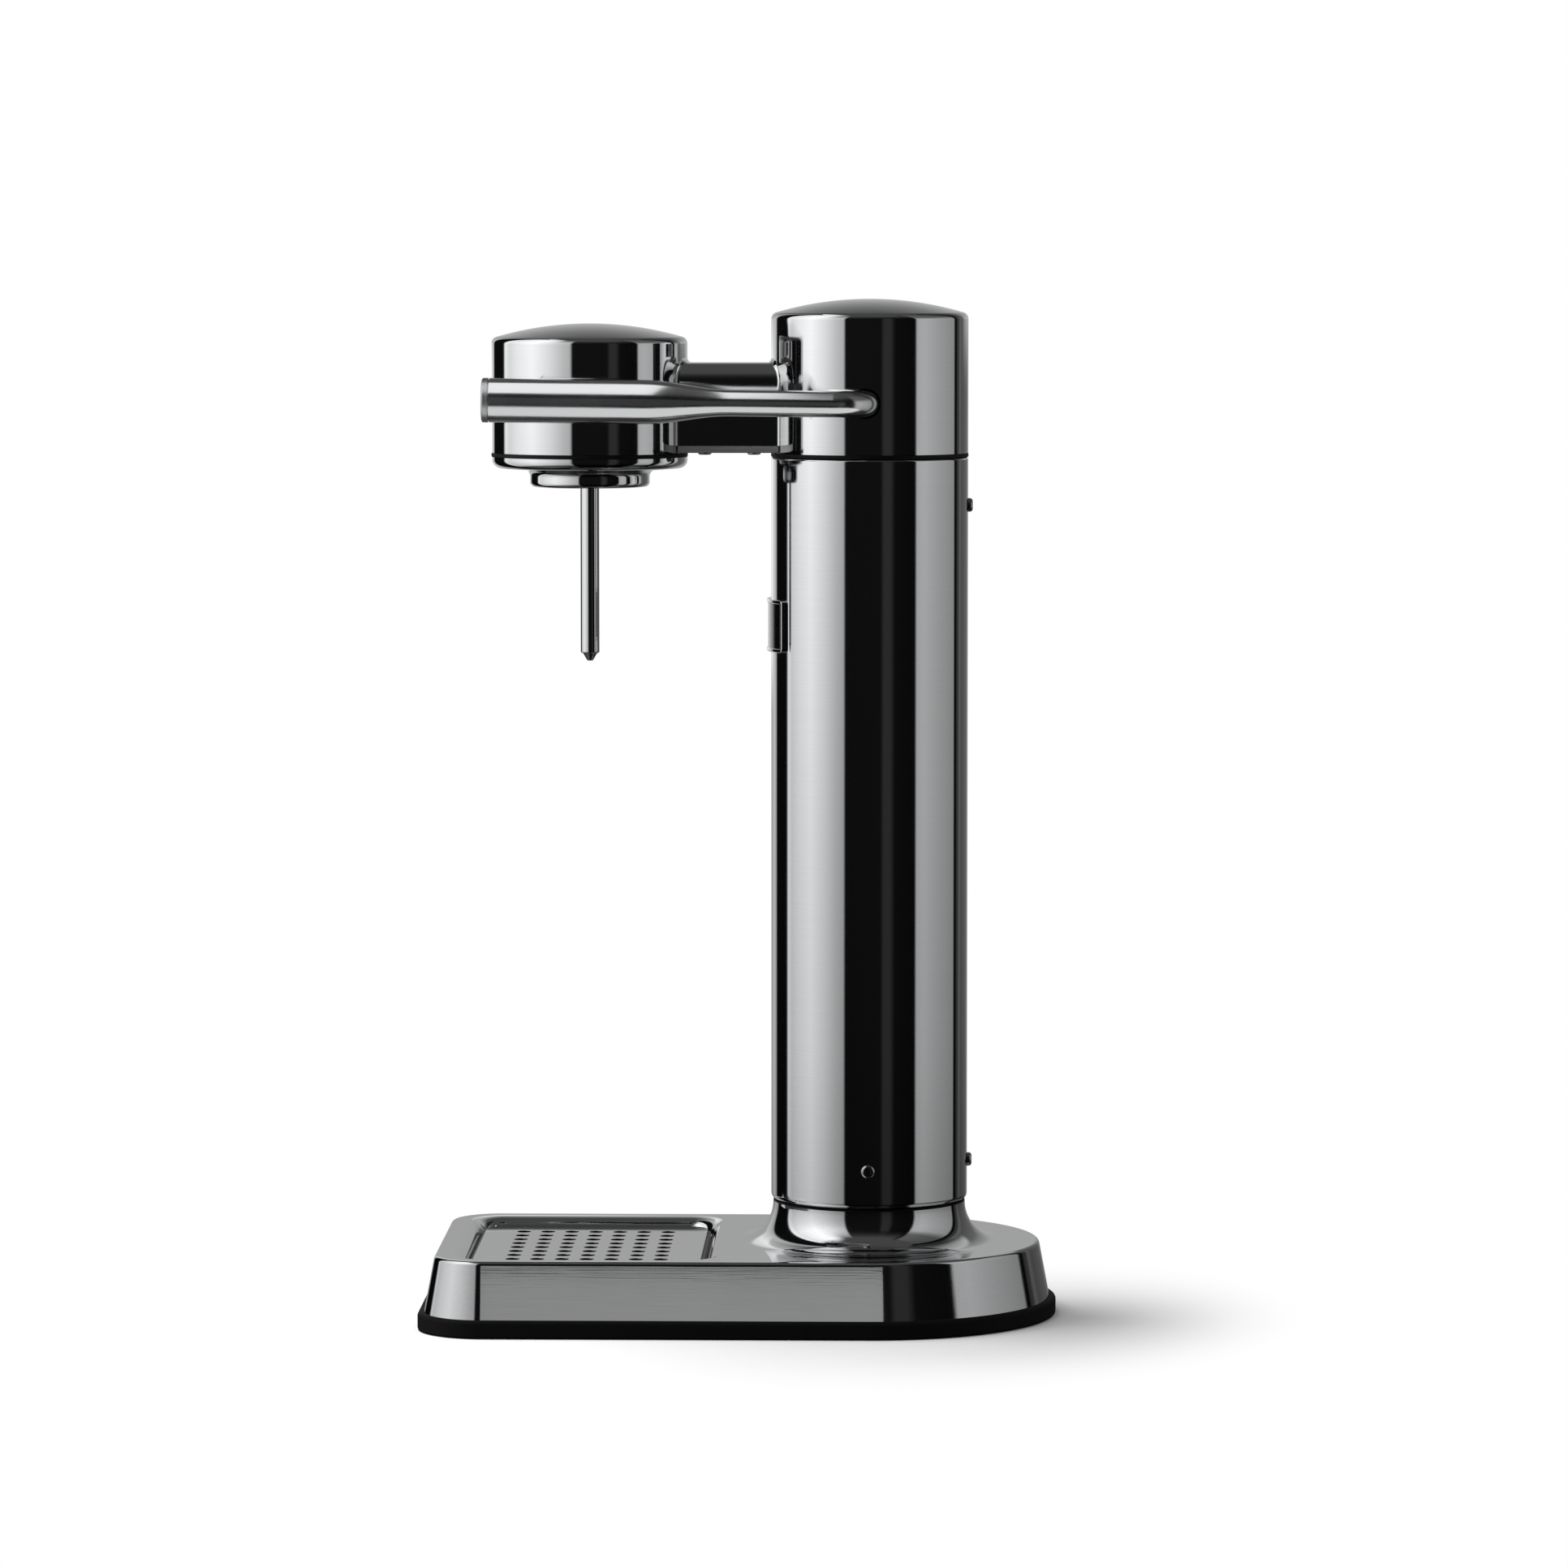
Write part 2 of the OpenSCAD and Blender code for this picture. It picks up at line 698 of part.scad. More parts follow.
// A cylinder with a shallow dome and a round shoulder, as a profile
module domed_profile(r, z0, top, dome, shoulder) {
    dome_z = top - dome;
    shoulder_z = dome_z + sqrt(pow(dome - shoulder, 2) - pow(r - shoulder, 2));
    square_w = (r - shoulder) * dome / (dome - shoulder);
    intersection() {
        translate([0, dome_z]) circle(dome, $fn = 360);
        translate([0, z0]) square([square_w, top - z0 + 1]);
    }
    translate([0, z0]) square([r, shoulder_z - z0]);
    translate([r - shoulder, shoulder_z]) circle(shoulder);
}

module domed_solid(r, z0, top, dome, shoulder) {
    rotate_extrude() domed_profile(r, z0, top, dome, shoulder);
}

// Section of the bridge across the machine, with round upper edges
module bridge_section(w, z0, z1, r) {
    translate([-w / 2, z0]) square([w, z1 - r - z0]);
    translate([r - w / 2, z0]) square([w - 2 * r, z1 - z0]);
    for (side = [-1, 1])
        translate([side * (w / 2 - r), z1 - r]) circle(r);
}

// One-piece upper housing: column cap, bridge and head shell
module upper_housing() {
    inner_dome = dome_r - housing_wall;
    inner_shoulder = 1;
    color(steel)
        difference() {
            union() {
                translate([col_x, 0, 0])
                    domed_solid(column_r, housing_z, cap_top, dome_r, shoulder_r);
                translate([head_x, 0, 0])
                    domed_solid(head_r, housing_z, head_top, dome_r, shoulder_r);
                translate([head_x, 0, 0]) rotate([90, 0, 90]) linear_extrude(head_reach)
                    bridge_section(bridge_w, bridge_z, bridge_top_z, bridge_edge_r);
                bridge_fillets();
            }
            // hollow of the cap, leaving its screw bosses
            difference() {
                translate([col_x, 0, 0])
                    domed_solid(column_r - housing_wall, housing_z - 1, cap_top - housing_wall,
                        inner_dome, inner_shoulder);
                for (p = housing_boss_places)
                    translate([col_x + p[0], p[1], frame_top_z]) cylinder(r = boss_r, h = cap_h);
            }
            // hollow of the head, leaving its screw bosses
            difference() {
                translate([head_x, 0, 0])
                    domed_solid(head_r - housing_wall, housing_z - 1, head_top - housing_wall,
                        inner_dome, inner_shoulder);
                for (p = nozzle_screw_places)
                    translate([head_x + p[0], p[1], ear_z]) cylinder(r = boss_r, h = head_h);
            }
            // hollow of the bridge, leaving its screw bosses
            difference() {
                translate([head_x + 30, 0, 0]) rotate([90, 0, 90]) linear_extrude(head_reach - 60)
                    bridge_section(bridge_w - 2 * housing_wall, bridge_z - 1, bridge_top_z - housing_wall,
                        bridge_edge_r - housing_wall);
                for (p = bridge_screw_places)
                    translate([p[0], p[1], bridge_z]) cylinder(r = boss_r - 1.2, h = bridge_top);
            }
            // bore for the lever shaft
            translate([lever_x, 0, pivot_z]) rotate([90, 0, 0])
                cylinder(d = shaft_d + 1.6, h = column_r + 5);
            // threads for the screws
            for (p = housing_boss_places)
                translate([col_x + p[0], p[1], frame_top_z - 1])
                    cylinder(d = screw_d + 2 * fit_gap, h = screw_l + 2);
            for (p = nozzle_screw_places)
                translate([head_x + p[0], p[1], ear_z - 1])
                    cylinder(d = screw_d + 2 * fit_gap, h = screw_l + 2);
            for (p = bridge_screw_places)
                translate([p[0], p[1], bridge_z - 1])
                    cylinder(d = screw_d + 2 * fit_gap, h = screw_l + 1);
        }
}

// Concave fillets where the bridge's sides run into the two round housings
module bridge_fillets() {
    for (end = [[col_x, column_r, 1], [head_x, head_r, -1]], side = [-1, 1]) {
        // the fillet's centre is one radius off both the bridge's side and the round wall
        fy = bridge_w / 2 + bridge_fillet_r;
        fx = sqrt(pow(end[1] + bridge_fillet_r, 2) - pow(fy, 2));
        wall = end[1] / (end[1] + bridge_fillet_r);
        translate([end[0], 0, bridge_z])
            scale([-end[2], side, 1])
                linear_extrude(bridge_top_z - bridge_edge_r - bridge_z)
                    difference() {
                        polygon([
                            [fx, bridge_w / 2 - 1], [fx, bridge_w / 2],
                            [fx, fy], [fx * wall, fy * wall], [fx * wall - 2, fy * wall - 2],
                            [fx * wall - 2, bridge_w / 2 - 1]
                        ]);
                        translate([fx, fy]) circle(bridge_fillet_r);
                    }
    }
}

module housing_screws() {
    color(steel)
        for (p = housing_boss_places)
            translate([col_x + p[0], p[1], frame_top_z - frame_deck_t]) mirror([0, 0, 1])
                button_screw(screw_d, frame_deck_t + screw_l);
}

// Plate that closes the bridge from below; its ends follow the round housings
module bridge_cover() {
    color(steel)
        translate([0, 0, housing_z + 0.3]) linear_extrude(bridge_bottom - 0.3)
            difference() {
                translate([head_x, -bridge_w / 2]) square([head_reach, bridge_w]);
                translate([col_x, 0]) circle(column_r + lift_gap);
                translate([head_x, 0]) circle(head_r + lift_gap);
                for (p = bridge_screw_places)
                    translate(p) circle(d = screw_d + 2 * screw_gap);
            }
}

module bridge_screws() {
    color(steel)
        for (p = bridge_screw_places)
            translate([p[0], p[1], housing_z + 0.3]) mirror([0, 0, 1])
                button_screw(screw_d, bridge_bottom + screw_l - 2, head_h = 1.2);
}

// Steel cover under the head: flange, concave fillet and bottle collar in one
module nozzle_cover() {
    inner_r = socket_wall_r + fit_gap;
    collar_r = collar_d / 2;
    fillet = 2.6;
    color(steel)
        translate([head_x, 0, 0]) rotate_extrude()
            polygon(concat(
                [[inner_r, collar_z]],
                arc([collar_r - 2, collar_z + 2], 2, -90, 0, 6),
                arc([collar_r + fillet, flange_low_z - fillet], fillet, 180, 95, 6),
                arc([head_r - flange_edge_r, flange_low_z + 0.8 + flange_edge_r], flange_edge_r, -80, 0, 8),
                [[head_r, tube_top], [head_r - 2, tube_top], [head_r - 2.6, cover_floor_z]],
                [[inner_r, cover_floor_z]]));
}

// Threaded insert that takes the bottle's neck
module bottle_socket() {
    lug_h = 1.6;
    color(black)
        translate([head_x, 0, 0]) {
            tube(socket_wall_r, socket_d / 2, socket_low_z, block_z - seal_t);
            tube(socket_wall_r + 1.8, socket_d / 2, cover_floor_z, block_z - seal_t);
            for (i = [0:lug_count - 1])
                rotate([0, 0, 360 * i / lug_count + 20]) rotate_extrude(angle = 70)
                    translate([socket_d / 2 - 1.2, socket_low_z + 1.5]) square([1.7, lug_h]);
        }
}

module bottle_seal() {
    color(black)
        translate([head_x, 0, 0])
            tube(block_r - 1, tube_d / 2 + 4, block_z - seal_t, block_z);
}

// Brass manifold in the head, with ears for its three screws
module nozzle_block() {
    color(brass)
        translate([head_x, 0, 0])
            difference() {
                union() {
                    translate([0, 0, block_z]) cylinder(r = block_r, h = block_h);
                    for (p = nozzle_screw_places) {
                        translate([p[0], p[1], block_z]) cylinder(r = boss_r, h = ear_z - block_z);
                        translate([0, 0, block_z]) rotate([0, 0, atan2(p[1], p[0])])
                            translate([0, -ear_w / 2, 0]) cube([ear_r - boss_r / 2, ear_w, ear_z - block_z]);
                    }
                    // inlet boss with a flat face towards the column
                    translate([0, pipe_y, pipe_run_z]) rotate([0, 90, 0])
                        cylinder(r = pipe_d / 2 + nut_wall, h = block_face_x - head_x);
                }
                // socket of the carbonation tube
                cylinder_at(block_z - 1, tube_socket_h + 1, tube_d / 2 + fit_gap);
                // inlet, and the passages from it to the tube and the two safety fittings
                translate([pipe_end - 1, pipe_y, pipe_run_z]) rotate([0, 90, 0])
                    cylinder(d = pipe_d + 2 * fit_gap, h = block_face_x - head_x);
                translate([relief_x - head_x, pipe_y, pipe_run_z]) rotate([0, 90, 0])
                    cylinder(r = passage_r, h = pipe_end + head_x - relief_x);
                translate([relief_x - head_x, pipe_y, pipe_run_z]) rotate([90, 0, 0])
                    cylinder(r = passage_r, h = pipe_y + relief_y);
                translate([0, pipe_y, pipe_run_z]) rotate([90, 0, 0]) cylinder(r = passage_r, h = pipe_y);
                cylinder_at(block_z + tube_socket_h - 1, pipe_run_z - block_z - tube_socket_h + 1, passage_r);
                // seats of the relief valve and the burst plug
                for (side = [-1, 1])
                    translate([relief_x - head_x, side * relief_y, 0])
                        cylinder_at(block_z + block_h - seat_depth, seat_depth + 1, relief_r - 1 + fit_gap);
                for (p = nozzle_screw_places)
                    translate([p[0], p[1], block_z - 1]) cylinder(d = screw_d + 2 * screw_gap, h = block_h);
            }
}

module nozzle_screws() {
    color(steel)
        for (p = nozzle_screw_places)
            translate([head_x + p[0], p[1], block_z]) mirror([0, 0, 1])
                button_screw(screw_d, ear_z - block_z + screw_l);
}

module carbonation_tube() {
    color(steel)
        translate([head_x, 0, 0])
            difference() {
                rotate_extrude()
                    polygon(concat(
                        [[tube_bore / 2, tube_end_z]],
                        arc([tube_d / 2 - 0.8, tube_end_z + 0.8], 0.8, -90, 0, 4),
                        [[tube_d / 2, block_z + tube_socket_h], [tube_bore / 2, block_z + tube_socket_h]]));
                // side orifice
                translate([0, 0, tube_end_z + 10]) rotate([90, 0, 0]) cylinder(d = 1.2, h = tube_d);
            }
}

module tube_nozzle() {
    bore = tube_bore / 2 - fit_gap;
    color(steel)
        translate([head_x, 0, 0]) rotate_extrude()
            polygon([
                [0.6, tube_end_z - tip_l], [1.3, tube_end_z - tip_l], [bore + 0.3, tube_end_z - 0.01],
                [bore, tube_end_z], [bore, tube_end_z + 7], [0.6, tube_end_z + 7]
            ]);
}

// Relief valve: a cup screwed into the block, which holds the poppet and its spring
module relief_valve() {
    z0 = block_z + block_h;
    color(brass)
        translate([relief_x, relief_y, 0])
            difference() {
                union() {
                    cylinder_at(z0 - seat_depth, seat_depth + 1, relief_r - 1);
                    cylinder_at(z0, relief_h, relief_r);
                }
                // bore of the poppet, open below through a small seat and above through a vent
                cylinder_at(z0 - seat_depth - 1, relief_h, passage_r);
                cylinder_at(z0 + relief_floor, relief_h - relief_floor - relief_top_wall, relief_r - 1);
                cylinder_at(z0 + relief_h - 2, 4, 1);
            }
}

module relief_poppet() {
    color(brass)
        translate([relief_x, relief_y, block_z + block_h + relief_floor]) {
            cylinder(r = relief_r - 1 - run_gap, h = poppet_h);
            cylinder(r = 1.6, h = 2 * poppet_h);
        }
}

// A compression spring: a round wire swept along a helix
module coil_spring(r, wire, h, turns) {
    steps = 16;
    n = turns * steps;
    rise = (h - wire) / n;
    sides = 6;
    rings = [for (i = [0:n])
        let(a = 360 * i / steps, c = [r * cos(a), r * sin(a), wire / 2 + rise * i])
        [for (k = [0:sides - 1])
            let(b = 360 * k / sides)
            c + wire / 2 * [cos(a) * cos(b), sin(a) * cos(b), sin(b)]]];
    points = [for (ring = rings) for (p = ring) p];
    walls = [for (i = [0:n - 1], k = [0:sides - 1])
        let(k2 = (k + 1) % sides, p = i * sides, q = p + sides)
        each [[p + k, q + k2, p + k2], [p + k, q + k, q + k2]]];
    caps = [
        for (k = [1:sides - 2]) [0, k, k + 1],
        for (k = [1:sides - 2]) [n * sides, n * sides + k + 1, n * sides + k]
    ];
    polyhedron(points, concat(walls, caps));
}

module relief_spring() {
    z0 = block_z + block_h + relief_floor + poppet_h;
    room = relief_h - relief_floor - poppet_h - relief_top_wall;
    color(steel)
        translate([relief_x, relief_y, z0 + run_gap]) coil_spring(2.9, 0.8, room - 2 * run_gap, 5);
}

module burst_plug() {
    z0 = block_z + block_h;
    color(brass)
        translate([relief_x, -relief_y, 0]) {
            cylinder_at(z0 - seat_depth + 0.5, seat_depth, relief_r - 1);
            translate([0, 0, z0]) cylinder(r = relief_r, h = 5, $fn = 6);
        }
}

// Rigid pipe from the valve housing, up and through the bridge to the nozzle block
module gas_pipe() {
    color(brass)
        difference() {
            pipe_route(pipe_d, 0);
            pipe_route(pipe_bore, 1);
        }
}

// The pipe's route as a solid round bar, drawn longer at both ends by extra
module pipe_route(d, extra) {
    start_z = frame_top_z + 0.5 - extra;
    end_x = head_x + pipe_end - extra;
    translate([pipe_x, pipe_y, start_z]) cylinder(d = d, h = pipe_run_z - pipe_bend_r - start_z);
    translate([pipe_x - pipe_bend_r, pipe_y, pipe_run_z - pipe_bend_r]) rotate([90, 0, 0])
        rotate_extrude(angle = 90) translate([pipe_bend_r, 0]) circle(d = d);
    translate([end_x, pipe_y, pipe_run_z]) rotate([0, 90, 0])
        cylinder(d = d, h = pipe_x - pipe_bend_r - end_x);
}

module pipe_nuts() {
    color(brass)
        translate([block_face_x, pipe_y, pipe_run_z]) rotate([0, 90, 0])
            difference() {
                cylinder(r = pipe_d / 2 + nut_wall, h = nut_l, $fn = 6);
                translate([0, 0, -1]) cylinder(d = pipe_d + 2 * fit_gap, h = nut_l + 2);
            }
}

// Brass valve housing: threaded socket for the cylinder below, plunger bore and spring pocket above
module valve_housing() {
    color(brass)
        translate([col_x, 0, 0])
            difference() {
                union() {
                    cylinder_at(valve_seat_z - thread_depth, frame_top_z - valve_seat_z + thread_depth + 1,
                        valve_body_r);
                    cylinder_at(frame_top_z, valve_flange_t, valve_flange_r);
                    cylinder_at(frame_top_z, valve_boss_h, valve_boss_r);
                    // port of the pipe
                    translate([pipe_x - col_x, pipe_y, 0])
                        cylinder_at(frame_top_z, port_h, pipe_d / 2 + 1.6);
                }
                cylinder_at(valve_seat_z - thread_depth - 1, thread_depth + 1, valve_thread_d / 2 + fit_gap);
                cylinder_at(valve_seat_z - 1, 40, plunger_d / 2 + run_gap);
                cylinder_at(spring_pocket_z, 40, spring_pocket_r);
                translate([pipe_x - col_x, pipe_y, 0])
                    cylinder_at(frame_top_z + 0.5, port_h, pipe_d / 2 + fit_gap);
                // sloping passage from the plunger's bore to the pipe
                translate([0, 0, valve_seat_z + 0.8]) rotate([0, 90 - passage_tilt, port_angle])
                    cylinder(r = 0.7, h = port_reach / cos(passage_tilt));
                for (p = valve_screw_places)
                    translate([p[0], p[1], 0]) cylinder_at(frame_top_z - 1, 6, screw_d / 2 + screw_gap);
            }
}

module valve_screws() {
    color(steel)
        for (p = valve_screw_places)
            translate([col_x + p[0], p[1], frame_top_z + valve_flange_t])
                button_screw(screw_d, valve_flange_t + frame_deck_t - 1);
}

module cylinder_seal() {
    color(black)
        translate([col_x, 0, 0])
            tube(valve_thread_d / 2, plunger_d / 2 + 1, cylinder_top_z, valve_seat_z);
}

module plunger_seal() {
    color(black)
        translate([col_x, 0, spring_pocket_z]) rotate_extrude()
            translate([plunger_d / 2 + run_gap + seal_wire / 2, seal_wire / 2])
                circle(d = seal_wire, $fn = 32);
}

module valve_plunger() {
    color(steel)
        translate([col_x, 0, 0]) {
            cylinder_at(cylinder_pin_top_z, plunger_top_z - cylinder_pin_top_z, plunger_d / 2);
            cylinder_at(plunger_top_z - button_t, button_t, button_r);
        }
}

module plunger_spring() {
    room = plunger_top_z - button_t - plunger_spring_z;
    color(steel)
        translate([col_x, 0, plunger_spring_z]) coil_spring(4.7, 1.2, room - fit_gap, 4);
}

// Radius of the lever arm along its swage, from the thin end at 0 to the grip at 1
function swage(t) = (shaft_d + (grip_d - shaft_d) * (1 - cos(180 * t)) / 2) / 2;

module lever_arm() {
    shaft_end = cheek_out + 4;
    color(steel)
        translate([lever_x, 0, pivot_z])
            difference() {
                rotate([0, lever_tilt, 0]) {
                    // grip, swage and thin end, along -X
                    translate([-lever_bend_r, -lever_offset, 0]) rotate([0, -90, 0]) rotate_extrude()
                        polygon(concat(
                            [[0, 0], [shaft_d / 2, 0]],
                            [for (i = [0:12]) [swage(i / 12), swage_start - lever_bend_r + swage_l * i / 12]],
                            [[grip_d / 2, lever_l - lever_bend_r - end_cap_l]],
                            [[0, lever_l - lever_bend_r - end_cap_l]]));
                    // bend towards the column
                    translate([-lever_bend_r, lever_bend_r - lever_offset, 0]) rotate([0, 0, -90])
                        rotate_extrude(angle = 90) translate([lever_bend_r, 0]) circle(d = shaft_d);
                    // shaft through both bushes
                    translate([0, shaft_end, 0]) rotate([90, 0, 0])
                        cylinder(d = shaft_d, h = shaft_end + lever_offset - lever_bend_r);
                }
                // groove of the clip
                translate([0, clip_y - run_gap, 0]) rotate([-90, 0, 0])
                    tube(shaft_d, shaft_d / 2 - clip_depth, 0, clip_t + 2 * run_gap);
                // hole of the cam pin
                translate([-10, 0, 0]) rotate([0, 90, 0]) cylinder(d = cam_pin_d + 2 * fit_gap, h = 20);
            }
}

module lever_end_cap() {
    groove_l = 0.5;
    edge_r = 0.7;
    color(steel)
        translate([lever_x, 0, pivot_z]) rotate([0, lever_tilt, 0])
            translate([end_cap_l - lever_l, -lever_offset, 0]) rotate([0, -90, 0]) rotate_extrude()
                polygon(concat(
                    [[0, 0], [grip_d / 2 - edge_r, 0], [grip_d / 2 - edge_r, groove_l], [grip_d / 2, groove_l]],
                    arc([grip_d / 2 - edge_r, end_cap_l - edge_r], edge_r, 0, 90, 4),
                    [[0, end_cap_l]]));
}

module lever_bushes() {
    color(brass)
        for (side = [0, 1])
            translate([lever_x, 0, pivot_z]) mirror([0, side, 0]) rotate([-90, 0, 0]) {
                tube(shaft_d / 2 + run_gap + bush_wall - fit_gap, shaft_d / 2 + run_gap, cheek_in, cheek_out);
                tube(shaft_d / 2 + bush_wall + 1.5, shaft_d / 2 + run_gap, cheek_out, cheek_out + bush_flange_t);
            }
}

// Cam with an involute working face: its reach grows evenly as the lever turns
module lever_cam() {
    gain = valve_stroke / (lever_sweep * PI / 180);
    over = 10;
    face = [for (t = [0:5:lever_sweep + over])
        let(a = 270 - t, reach = cam_r + gain * t * PI / 180)
        reach * [cos(a), sin(a)] - gain * [-sin(a), cos(a)]];
    color(steel)
        translate([lever_x, cam_w / 2, pivot_z]) rotate([90, 0, 0])
            difference() {
                union() {
                    cylinder(r = cam_r, h = cam_w);
                    linear_extrude(cam_w) polygon(concat([[0, 0], [cam_r * 0.2, -cam_r * 0.8]], face));
                }
                translate([0, 0, -1]) cylinder(r = shaft_d / 2 + fit_gap, h = cam_w + 2);
                translate([-20, 0, cam_w / 2]) rotate([0, 90, 0])
                    cylinder(d = cam_pin_d + 2 * fit_gap, h = 40);
            }
}

module cam_pin() {
    color(steel)
        translate([lever_x - cam_pin_l / 2, 0, pivot_z]) rotate([0, 90, 0])
            cylinder(d = cam_pin_d, h = cam_pin_l);
}

module lever_clip() {
    color(steel)
        translate([lever_x, clip_y, pivot_z]) rotate([-90, 0, 0])
            difference() {
                cylinder(d = shaft_d + 4, h = clip_t);
                translate([0, 0, -1]) cylinder(r = shaft_d / 2 - clip_depth + fit_gap, h = clip_t + 2);
                translate([-2, 0, -1]) cube([4, shaft_d, clip_t + 2]);
            }
}

// Gas cylinder: a drawn bottle with a round foot and a domed shoulder, open at its neck
module gas_cylinder() {
    foot_x = cylinder_d / 2 - cylinder_foot_r;
    shoulder_x = cylinder_d / 2 - cylinder_shoulder_r;
    color("#8f9499")
        translate([col_x, 0, 0]) rotate_extrude()
            polygon(concat(
                [[0, cylinder_rise]],
                arc([foot_x, cylinder_rise + cylinder_foot_r], cylinder_foot_r, -90, 0, 6),
                arc([shoulder_x, cylinder_shoulder_z], cylinder_shoulder_r, 0, 60, 8),
                [[cylinder_neck_r, cylinder_neck_z], [valve_stem_r + fit_gap, cylinder_neck_z]],
                [[valve_stem_r + fit_gap, cylinder_neck_z - valve_stem_l - 1]],
                arc([shoulder_x, cylinder_shoulder_z], cylinder_shoulder_r - cylinder_wall, 60, 0, 8),
                arc([foot_x, cylinder_rise + cylinder_foot_r], cylinder_foot_r - cylinder_wall, 0, -90, 6),
                [[0, cylinder_rise + cylinder_wall]]));
}

// Brass valve in the cylinder's neck: stem below, wrench flange, threaded head with a pin bore
module cylinder_valve() {
    color(brass)
        translate([col_x, 0, 0])
            difference() {
                union() {
                    cylinder_at(cylinder_neck_z - valve_stem_l, valve_stem_l + 1, valve_stem_r);
                    cylinder_at(cylinder_neck_z, wrench_flange_t, cylinder_neck_r - 0.5);
                    cylinder_at(cylinder_neck_z, cylinder_top_z - cylinder_neck_z, valve_thread_d / 2);
                }
                cylinder_at(cylinder_top_z - pin_bore_depth, pin_bore_depth + 1, plunger_d / 2 + run_gap);
            }
}

module cylinder_pin() {
    color(steel)
        translate([col_x, 0, 0])
            cylinder_at(cylinder_pin_top_z - 1.5, 1.5 - fit_gap, plunger_d / 2);
}

base_shell();
foot_ring();
base_plate();
base_screws();
drip_tray();
drip_plate();
neck_gasket();
lower_ring();
ring_nut();
column_tube();
rear_screws();
side_screws();
badge_plate();
column_gasket();
upper_frame();
upper_housing();
housing_screws();
bridge_cover();
bridge_screws();
head_gasket();
nozzle_cover();
bottle_socket();
bottle_seal();
nozzle_block();
nozzle_screws();
carbonation_tube();
tube_nozzle();
relief_valve();
relief_poppet();
relief_spring();
burst_plug();
gas_pipe();
pipe_nuts();
valve_housing();
valve_screws();
cylinder_seal();
plunger_seal();
valve_plunger();
plunger_spring();
lever_arm();
lever_end_cap();
lever_bushes();
lever_cam();
cam_pin();
lever_clip();
gas_cylinder();
cylinder_valve();
cylinder_pin();
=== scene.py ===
import math

import bpy
from mathutils import Matrix, Vector
from mathutils.geometry import tessellate_polygon


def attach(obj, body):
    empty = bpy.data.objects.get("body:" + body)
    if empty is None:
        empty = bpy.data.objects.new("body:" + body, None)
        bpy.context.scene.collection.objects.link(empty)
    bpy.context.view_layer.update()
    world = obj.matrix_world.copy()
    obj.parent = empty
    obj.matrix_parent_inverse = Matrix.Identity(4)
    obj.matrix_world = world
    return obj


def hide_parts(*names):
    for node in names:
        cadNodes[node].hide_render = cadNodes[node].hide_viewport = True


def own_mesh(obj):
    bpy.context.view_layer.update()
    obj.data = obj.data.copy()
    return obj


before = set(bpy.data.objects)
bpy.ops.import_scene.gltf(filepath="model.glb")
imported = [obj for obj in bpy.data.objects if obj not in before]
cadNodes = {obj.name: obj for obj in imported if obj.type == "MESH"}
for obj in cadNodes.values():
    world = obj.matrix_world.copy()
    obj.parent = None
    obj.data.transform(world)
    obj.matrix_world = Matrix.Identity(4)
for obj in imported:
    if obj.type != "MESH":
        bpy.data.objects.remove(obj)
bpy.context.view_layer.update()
print("frame loaded:", len(cadNodes), "nodes")

# real sizes in millimetres; meshes are turned to metres when they are made
millimetre = 0.001
axes = {"columnX": 52.5, "headX": -61.3, "columnR": 40.0, "headR": 39.8, "cornerX": -102.0, "cornerY": 49.5,
        "deckZ": 30.2, "plateZ": 26.8, "tubeTop": 350.0, "housingZ": 351.7}


# small helpers

def hexColour(text):
    # sRGB hex to the linear colour that the sockets take
    parts = [int(text[i:i + 2], 16) / 255 for i in (1, 3, 5)]
    linear = [c / 12.92 if c <= 0.04045 else ((c + 0.055) / 1.055) ** 2.4 for c in parts]
    return (*linear, 1.0)


# node types and settings that come up often
mathNode, rangeNode = "ShaderNodeMath", "ShaderNodeMapRange"
mixNode, noiseNode = "ShaderNodeMix", "ShaderNodeTexNoise"
plus, minus, times, over = ({"operation": name} for name in ("ADD", "SUBTRACT", "MULTIPLY", "DIVIDE"))
easeIn = {"interpolation_type": "SMOOTHSTEP"}
bumpNode, vectorNode = "ShaderNodeBump", "ShaderNodeCombineXYZ"
realNode, joinNode = "GeometryNodeRealizeInstances", "GeometryNodeJoinGeometry"
cylinderNode, instanceNode = "GeometryNodeMeshCylinder", "GeometryNodeInstanceOnPoints"


def addNode(tree, kind, settings=None, **links):
    # kind: a type's name, or a node that is there already; settings: its properties or input values
    # links: input name, or "in" and its number -> a socket, a node for its first output, or a plain value
    node = tree.nodes.new(kind) if isinstance(kind, str) else kind
    for key, value in (settings or {}).items():
        if isinstance(key, str) and hasattr(node, key):
            setattr(node, key, value)
        else:
            node.inputs[key].default_value = value
    for key, source in links.items():
        numbered = key.startswith("in") and key[2:].isdigit()
        target = node.inputs[int(key[2:]) if numbered else key.replace("_", " ")]
        if isinstance(source, bpy.types.Node):
            source = source.outputs[0]
        if isinstance(source, bpy.types.NodeSocket):
            tree.links.new(source, target)
        else:
            target.default_value = source
    return node


def addObject(name, data):
    thing = bpy.data.objects.new(name, data)
    bpy.context.scene.collection.objects.link(thing)
    return thing


def evenSteps(a, b, n):
    return [a + (b - a) * i / n for i in range(n + 1)]


def line(p, q):
    # a straight stroke of a profile, with the solid on its left side
    dr, dz = q[0] - p[0], q[1] - p[1]
    size = math.hypot(dr, dz)
    normal = (dz / size, -dr / size)
    return [(*p, *normal), (*q, *normal)]


